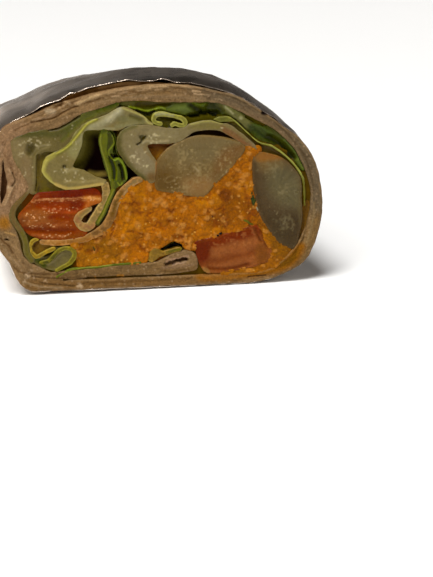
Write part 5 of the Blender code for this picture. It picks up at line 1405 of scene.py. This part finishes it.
def patty_paint(points, edge):
    x, z = points.T
    p = Paint(points, (160, 96, 12))
    p.field([(14, 40), (29, 38), (29, 16), (18, 16), (10, 24), (20, 32)], (150, 90, 17), 3.0)
    p.field([(18, 24), (28, 24), (28, 17), (16, 16)], (141, 84, 14), 2.5)
    p.field([(-32, 12), (-14, 16), (-8, 8), (-20, 6), (-30, 10)], (140, 90, 18), 3.0)
    p.field([(32, 16), (40, 9), (36, 4), (31, 3), (33, 8), (30, 16)], (124, 80, 17), 1.6)
    p.field([(13, 3.4), (30, 4.8), (34, 7), (38, 5), (30, 2.4), (14, 2.2)], (142, 88, 26), 0.8)
    p.lay(0.5 * smoothstep(0.1, 0.7, wave(x, z, 4.2, 89)), (176, 114, 20))
    p.tone(0.13 * wave(x, z, 5.0, 94))
    # soft crumbs that press into each other; their tone follows the relief, lighter on the tops and darker in
    # the creases, as painted light and shade
    bent_x, bent_z = x + 0.7 * wave(x, z, 1.9, 90), z + 0.7 * wave(x, z, 1.9, 91)
    near, next_near, number = cells(bent_x, bent_z, 1.9, 92)
    crease = 1 - smoothstep(0.0, 0.35, next_near - near)
    small, next_small, small_number = cells(bent_x, bent_z, 0.85, 93)
    fold = 1 - smoothstep(0.0, 0.3, next_small - small)
    relief = 0.5 * rough(x, z, 3.2, 95) + 0.20 * rough(x, z, 1.1, 96) - 0.32 * crease * number - 0.09 * fold
    p.depth -= 0.8 * relief
    p.tone(0.14 * (number - 0.5) + 0.06 * (small_number - 0.5) + 0.55 * np.clip(relief + 0.12, -0.8, 0.5))
    # cracked wheat, pale and a little pink, half sunk in the mash
    draw = random.Random(5)
    ranges = ((-33, 40), (3, 41), (0.35, 0.6), (1.1, 1.8), (0, 3.1))
    grains = [tuple(draw.uniform(*span) for span in ranges) for _ in range(SMALL_GRAINS)]
    for gx, gz, size, long, turn in grains + list(MAIN_GRAINS):
        c, sn = math.cos(turn), math.sin(turn)
        across, up = x - gx, z - gz
        gap = (np.hypot((across * c + up * sn) / long, -across * sn + up * c) / size
               + 0.25 * wave(x, z, 0.8, 97))
        grain = 1 - smoothstep(0.55, 1.25, gap)
        p.lay(0.66 * grain, (186, 128, 74), -0.2)
    # crevices, painted dark as shade
    ridge = (smoothstep(0.80, 0.97, 1 - np.abs(rough(x, z, 2.6, 98)))
             * smoothstep(0.0, 0.5, wave(x, z, 4.5, 99)))
    p.lay(0.55 * ridge, (118, 56, 2), 0.3)
    for line, width in CREVICES:
        p.line(line, width, (118, 58, 3), 0.6, 0.5, 0.55)
    # one brown lentil
    p.spot(20.7, 25.4, 1.9, (122, 66, 12), 0.5, -0.1, 0.8)
    p.spot(20.9, 25.2, 1.2, (108, 60, 16), 0.7, 0.15, 0.8)
    # wet lights
    for _ in range(WET_LIGHTS):
        gx, gz = draw.uniform(-33, 40), draw.uniform(3, 41)
        near_spot = np.abs(x - gx) + np.abs(z - gz) < 1.0
        spot = np.hypot(x[near_spot] - gx, z[near_spot] - gz)
        weight = np.zeros(len(x))
        weight[near_spot] = draw.uniform(0.2, 0.8) * (1 - smoothstep(0.04, draw.uniform(0.18, 0.38), spot))
        p.lay(weight, (232, 184, 116), -0.04)
    # the mash darkens softly towards its rim: painted shade where it meets the pale strip and the leaves
    p.lay(0.4 * (1 - smoothstep(0.0, 0.9, edge)), (136, 84, 20))
    return p


dress(slab("lentil_patty_cut", node_loops("lentil_patty")[:1], patty_paint, PATTY, front=0.12, spacing=0.27,
           rim=0.05, grow=0.6, ragged=0.25), "patty", "lentil_patty")


def pebble():
    """The points and faces of a small rounded lump."""
    count_u, count_v = 8, 5
    verts = [(0, 0, 1)]
    for row in range(1, count_v):
        polar = math.pi * row / count_v
        turns = [2 * math.pi * k / count_u for k in range(count_u)]
        verts += [(math.sin(polar) * math.cos(a), math.sin(polar) * math.sin(a), math.cos(polar))
                  for a in turns]
    verts.append((0, 0, -1))
    faces = []
    for k in range(count_u):
        j = (k + 1) % count_u
        faces.append((0, 1 + k, 1 + j))
        for row in range(count_v - 2):
            a, b = 1 + row * count_u, 1 + (row + 1) * count_u
            faces.append((a + k, b + k, b + j, a + j))
        last = 1 + (count_v - 2) * count_u
        faces.append((last + k, len(verts) - 1, last + j))
    return np.array(verts), faces


def scatter(name, lumps, material, slot):
    """Join many lumps: each (x, z, depth, half sizes across, up and back, turn in the face, colour)."""
    base, base_faces = pebble()
    verts, faces, colours = [], [], []
    draw = random.Random(7)
    for x, z, depth, (half_x, half_z, half_y), turn, colour in lumps:
        c, s = math.cos(turn), math.sin(turn)
        dent = np.array([1 + draw.uniform(-0.16, 0.16) for _ in base])
        px = base[:, 0] * half_x * dent
        pz = base[:, 2] * half_z * dent
        spots = place(x + px * c - pz * s, depth + base[:, 1] * half_y, z + px * s + pz * c)
        faces += [tuple(k + len(verts) * len(base) for k in face) for face in base_faces]
        verts.append(spots)
        colours.append(np.tile(shade(*colour), (len(base), 1)))
    item = new_mesh(name, np.vstack(verts), faces, np.vstack(colours), material)
    return dress(item, slot)


scatter("patty_herbs", [
    (28.3, 24.2, 0.1, (0.55, 1.9, 0.18), 0.1, (46, 58, 12)),
    (28.7, 23.0, 0.05, (0.4, 1.0, 0.15), -0.3, (60, 66, 22)),
    (26.2, 17.7, 0.15, (1.3, 0.35, 0.15), -0.5, (98, 94, 20)),
    (27.4, 16.8, 0.15, (0.9, 0.25, 0.12), -0.3, (84, 84, 14)),
    (25.6, 18.4, 0.2, (0.6, 0.2, 0.1), -1.2, (108, 104, 34)),
    (-16.6, 11.4, 0.2, (0.2, 0.8, 0.1), 0.3, (64, 62, 16)),
    (29.6, 20.9, 0.2, (0.25, 0.7, 0.12), 0.3, (150, 138, 108)),
    (35.4, 9.4, 0.2, (0.3, 0.15, 0.1), 0.3, (70, 54, 10)),
], HERB, "lettuce_green")
scatter("patty_char", [
    (18.9, 14.3, 0.1, (0.55, 0.3, 0.2), 0.4, (14, 10, 6)),
    (18.2, 13.8, 0.1, (0.35, 0.3, 0.2), 0.8, (14, 10, 6)),
    (16.9, 19.3, 0.15, (0.16, 0.2, 0.1), 0.0, (60, 30, 10)),
], HERB, "patty")


# --------------------------------------------------------------------------
# The foil
# --------------------------------------------------------------------------
def foil_material(name, low, high):
    """Painted metal whose roughness varies between two values, with a faint relief."""
    n = Nodes(name)
    paint = n.add("ShaderNodeAttribute", attribute_name="tint")
    fine = n.noise(0.9, 3.0).outputs["Fac"]
    broad = n.noise(3.0, 3.0, stretch=(1.0, 0.35, 1.0)).outputs["Fac"]
    normal = n.bump(fine, 0.02, 0.08)
    normal = n.bump(broad, 0.05, 0.3, normal)
    n.set(Base_Color=paint.outputs["Color"], Metallic=1.0, Roughness=n.ramp(broad, 0.3, 0.7, low, high),
          Normal=normal)
    return n.material


FOIL = foil_material("crinkled foil", 0.24, 0.36)
FOIL_BRIGHT = foil_material("foil edge", 0.15, 0.30)
FOIL_STEP = 0.8           # the spacing of the foil's mesh round the wrap
FOIL_RINGS = 126          # and how many rings it has along it
FOIL_BACK = 102.2         # where its last ring lies
FOIL_SHEET = 0.12
FOIL_LIP = np.array([
    (-45.5, 41.0), (-43.6, 43.6), (-41.5, 46.2), (-38.0, 48.7), (-32.0, 51.4), (-29.7, 52.9), (-24.0, 54.8),
    (-21.0, 56.7), (-20.0, 56.2), (-16.8, 57.7), (-10.0, 58.9), (-5.0, 59.7), (-2.2, 59.0), (2.0, 59.0),
    (5.0, 59.6), (8.0, 58.4), (13.0, 57.9), (20.0, 55.9), (26.0, 53.5), (30.0, 51.0), (36.0, 46.6),
    (40.5, 42.0),
])
LIP_TIGHT = 0.62          # how far the lip draws in where the foil lies tight
LIP_FADE = 2.4            # how far back the lip's bend runs
UNDER_FADE = 0.5          # and how far under the wrap
FOIL_GREY = np.array([0.40, 0.335, 0.275])


def foil_piece():
    """A thin closed sheet round the bread, softly crumpled, folded shut at the far end."""
    outer = even(node_loops("foil")[0], FOIL_STEP, 0.6)
    if np.sum(outer[:, 0] * np.roll(outer[:, 1], -1) - outer[:, 1] * np.roll(outer[:, 0], -1)) < 0:
        outer = outer[::-1]
    way = np.roll(outer, -1, axis=0) - np.roll(outer, 1, axis=0)
    normal = np.stack([way[:, 1], -way[:, 0]], axis=1)
    normal /= np.hypot(*normal.T)[:, None]
    run = np.concatenate([[0], np.cumsum(np.hypot(*np.diff(outer, axis=0).T))])
    count = len(outer)
    flat = run * 0
    under = smoothstep(1.2, 0.2, outer[:, 1] + LIFT)
    top = smoothstep(20, 50, outer[:, 1])
    loose = smoothstep(44, 54, outer[:, 1]) * smoothstep(26, 16, outer[:, 0])
    shoulder = np.exp(-((outer[:, 0] - 30) / 11) ** 2) * smoothstep(34, 42, outer[:, 1])
    # the front lip: how far each point moves along its normal to meet the lip's line
    over = (smoothstep(-46.0, -43.5, outer[:, 0]) * smoothstep(42.0, 39.0, outer[:, 0])
            * smoothstep(36, 40, outer[:, 1]))
    lip_gap, _ = distance(outer, FOIL_LIP)
    lip = np.where(outer[:, 1] > np.interp(outer[:, 0], *FOIL_LIP.T), -lip_gap, lip_gap)
    lip = np.clip(lip, -0.7 - 1.3 * top, 0.4) * over - LIP_TIGHT * (1 - over)
    lip = lip + (0.05 + 0.10 * top) * facets(run, flat, 2.4, 108) + 0.06 * facets(run, flat + 3, 1.1, 109)
    lip = lip * (1 - under) - LIP_TIGHT * under
    start = 0.5 + 1.0 * top + 0.45 * wave(run, flat, 7.0, 105) + 0.3 * facets(run, flat, 2.2, 106)
    start = np.maximum(start, 0.1)

    def crumple(depth):
        swirl = 2.5 * wave(run, depth, 24.0, 101)
        height = 0.34 * facets(run + swirl, 0.5 * depth + swirl, 13.0, 102)
        height += 0.16 * facets(1.1 * run - swirl, 0.6 * depth + 0.4 * run, 5.4, 103)
        return height + 0.05 * facets(run + depth, depth - run, 2.4, 104)

    levels = np.concatenate([[0.0, 0.25, 0.6], np.linspace(1.1, FOIL_BACK, FOIL_RINGS)])
    left = smoothstep(24, -20, outer[:, 0])
    rings, tones = [], []
    for level in levels:
        depth = start + level * (1 - start / 102.0)
        bend = crumple(depth) * smoothstep(0, 4, level) - 0.14
        bend = np.clip(bend, -0.32 - 0.9 * loose, 0.08 + 0.2 * top) + shoulder * smoothstep(0, 12, level)
        # painted shade darkens the top near the lip, more on the left, and a painted sheen lightens the left
        # further back
        lip_shade = 1.05 - ((0.15 + 0.28 * left) * top
                       * smoothstep(9.0 + 3.0 * wave(run, flat, 9.0, 111), 2.0, level))
        sheen = 1 + (0.85 * left * smoothstep(8, 20, level)
                     * smoothstep(-0.3, 0.5, wave(run, depth, 11.0, 112)))
        tones.append(np.clip(lip_shade * sheen * (1 + 0.06 * facets(run, depth, 4.0, 113)), 0.3, 1.7))
        near = np.exp(-level / (LIP_FADE + (UNDER_FADE - LIP_FADE) * under))
        shift = bend * (1 - near) * (1 - under) + lip * near
        rings.append(place(outer[:, 0] + normal[:, 0] * shift, depth, outer[:, 1] + normal[:, 1] * shift))
    front = rings[0].copy()
    verts = np.vstack(rings)
    verts[:, 2] = np.maximum(verts[:, 2], FOIL_SHEET * MM)
    faces = []
    for row in range(len(levels) - 1):
        a, b = row * count, (row + 1) * count
        faces += [(a + k, b + k, b + (k + 1) % count, a + (k + 1) % count) for k in range(count)]
    # the folded end: rings that draw in to a flat seam
    previous = (len(levels) - 1) * count
    rim = verts[previous:previous + count]
    middle = rim.mean(axis=0)
    extra = []
    for step, share in enumerate((0.97, 0.88, 0.72, 0.5, 0.25)):
        ring = middle + (rim - middle) * np.array([share, 1, share])
        ring[:, 1] = rim[:, 1] + (0.9 - 0.9 * share ** 2) * 1.4 * MM
        ring[:, 1] += 0.3 * MM * facets(run, flat + 40.0 * share, 6.0, 107)
        extra.append(ring)
        base = len(verts) + step * count
        faces += [(previous + k, base + k, base + (k + 1) % count, previous + (k + 1) % count)
                  for k in range(count)]
        previous = base
    verts = np.vstack([verts] + extra)
    faces.append(tuple(previous + k for k in range(count)))
    tones += [tones[-1]] * len(extra)
    item = new_mesh("foil_wrap", verts, faces, np.concatenate(tones)[:, None] * FOIL_GREY, FOIL)
    solid = item.modifiers.new("sheet", "SOLIDIFY")
    solid.thickness = FOIL_SHEET * MM
    solid.offset = -1.0
    dress(item, "foil", "foil")
    foil_edge(front, run, top)


def foil_edge(path, run, top):
    """The turned-over edge of the foil: a thin crimped bead along the front ring."""
    sides = 6
    radius = (0.06 + 0.05 * top) * (1 + 0.5 * facets(run, run * 0, 1.7, 110))
    ahead = np.roll(path, -1, axis=0) - np.roll(path, 1, axis=0)
    ahead /= np.maximum(np.linalg.norm(ahead, axis=1), 1e-9)[:, None]
    side = np.cross(ahead, [0, 1, 0])
    side /= np.maximum(np.linalg.norm(side, axis=1), 1e-9)[:, None]
    forward = np.cross(side, ahead)
    verts = []
    for k in range(sides):
        turn = 2 * math.pi * k / sides
        verts.append(path + MM * radius[:, None] * (math.cos(turn) * side + math.sin(turn) * forward))
    verts = np.stack(verts, axis=1).reshape(-1, 3)
    verts[:, 2] = np.maximum(verts[:, 2], 0)
    count = len(path)
    faces = []
    for k in range(count):
        j = (k + 1) % count
        for m in range(sides):
            w = (m + 1) % sides
            faces.append((k * sides + m, j * sides + m, j * sides + w, k * sides + w))
    # the bead is painted 1.7 times as light as the foil: a painted highlight along the lip
    item = new_mesh("foil_edge", verts, faces, np.tile(FOIL_GREY * 1.7, (len(verts), 1)), FOIL_BRIGHT)
    face_out(item.data)
    dress(item, "foil")


foil_piece()


# --------------------------------------------------------------------------
# Floor, light and camera
# --------------------------------------------------------------------------
def plain(name, colour, roughness):
    """One even colour."""
    n = Nodes(name)
    grain = n.noise(6.0, 2.0).outputs["Fac"]
    n.set(Base_Color=(*colour, 1.0), Roughness=n.ramp(grain, 0.3, 0.7, roughness - 0.05, roughness + 0.05))
    return n.material


FLOOR_HALF = 1.6
corners = [(-FLOOR_HALF, -FLOOR_HALF, 0), (FLOOR_HALF, -FLOOR_HALF, 0), (FLOOR_HALF, FLOOR_HALF, 0),
           (-FLOOR_HALF, FLOOR_HALF, 0)]
floor_data = bpy.data.meshes.new("floor")
floor_data.from_pydata(corners, [], [(0, 1, 2, 3)])
floor_data.materials.append(plain("pale floor", (0.90, 0.90, 0.89), 0.7))
floor = bpy.data.objects.new("floor", floor_data)
bpy.context.scene.collection.objects.link(floor)

LIT_POINT = Vector((0, 0, 0.03))


def lamp(name, kind, where, power):
    """The data of a new light that shines on the middle of the wrap."""
    data = bpy.data.lights.new(name, kind)
    data.energy = power
    item = bpy.data.objects.new(name, data)
    item.location = where
    item.rotation_euler = (LIT_POINT - Vector(where)).to_track_quat("-Z", "Y").to_euler()
    bpy.context.scene.collection.objects.link(item)
    return data


for name, where, size, power, colour in (
    ("key", (-0.45, -0.60, 0.75), 0.4, 4.0, (1.0, 0.98, 0.95)),
    ("fill", (0.7, -0.7, 0.5), 0.6, 1.2, (0.97, 0.98, 1.0)),
):
    panel = lamp(name, "AREA", where, power)
    panel.size = size
    panel.color = colour
sun = lamp("overhead", "SUN", (-0.22, -0.30, 1.0), 3.05)
sun.angle = math.radians(24.0)


# the room's brightness from its left side (0) to its right side (1)
STUDIO_STOPS = ((0.0, 1.05), (0.36, 1.0), (0.44, 0.45), (0.52, 0.17), (0.60, 0.13), (0.70, 0.20), (1.0, 0.4))


def studio():
    """A dim room: bright low on the left, darkest right of the middle, and dimmer overhead."""
    world = bpy.data.worlds.new("studio")
    bpy.context.scene.world = world
    world.use_nodes = True
    tree = world.node_tree
    way = tree.nodes.new("ShaderNodeTexCoord")
    parts = tree.nodes.new("ShaderNodeSeparateXYZ")
    tree.links.new(way.outputs["Generated"], parts.inputs[0])
    across = tree.nodes.new("ShaderNodeValToRGB")
    shift = tree.nodes.new("ShaderNodeMapRange")
    shift.inputs["From Min"].default_value = -1.0
    shift.inputs["From Max"].default_value = 1.0
    tree.links.new(parts.outputs["X"], shift.inputs["Value"])
    tree.links.new(shift.outputs["Result"], across.inputs["Fac"])
    while len(across.color_ramp.elements) < len(STUDIO_STOPS):
        across.color_ramp.elements.new(0.5)
    for element, (position, value) in zip(across.color_ramp.elements, STUDIO_STOPS):
        element.position = position
        element.color = (value, 0.93 * value, 0.86 * value, 1.0)
    tree.links.new(across.outputs["Color"], tree.nodes["Background"].inputs["Color"])
    height = tree.nodes.new("ShaderNodeMapRange")
    height.interpolation_type = "SMOOTHSTEP"
    for key, value in (("From Min", 0.08), ("From Max", 0.28), ("To Min", 1.0), ("To Max", 0.33)):
        height.inputs[key].default_value = value
    tree.links.new(parts.outputs["Z"], height.inputs["Value"])
    tree.links.new(height.outputs["Result"], tree.nodes["Background"].inputs["Strength"])


studio()
bpy.context.scene.view_settings.view_transform = "Standard"

camera_data = bpy.data.cameras.new("camera")
camera = bpy.data.objects.new("camera", camera_data)
camera.location = EYE * MM
camera.rotation_euler = TURN.to_euler()
camera_data.sensor_fit = "VERTICAL"
camera_data.sensor_height = 24.0
camera_data.lens = FOCAL_PX / IMAGE[1] * camera_data.sensor_height
camera_data.clip_start = 0.01
bpy.context.scene.collection.objects.link(camera)
bpy.context.scene.camera = camera
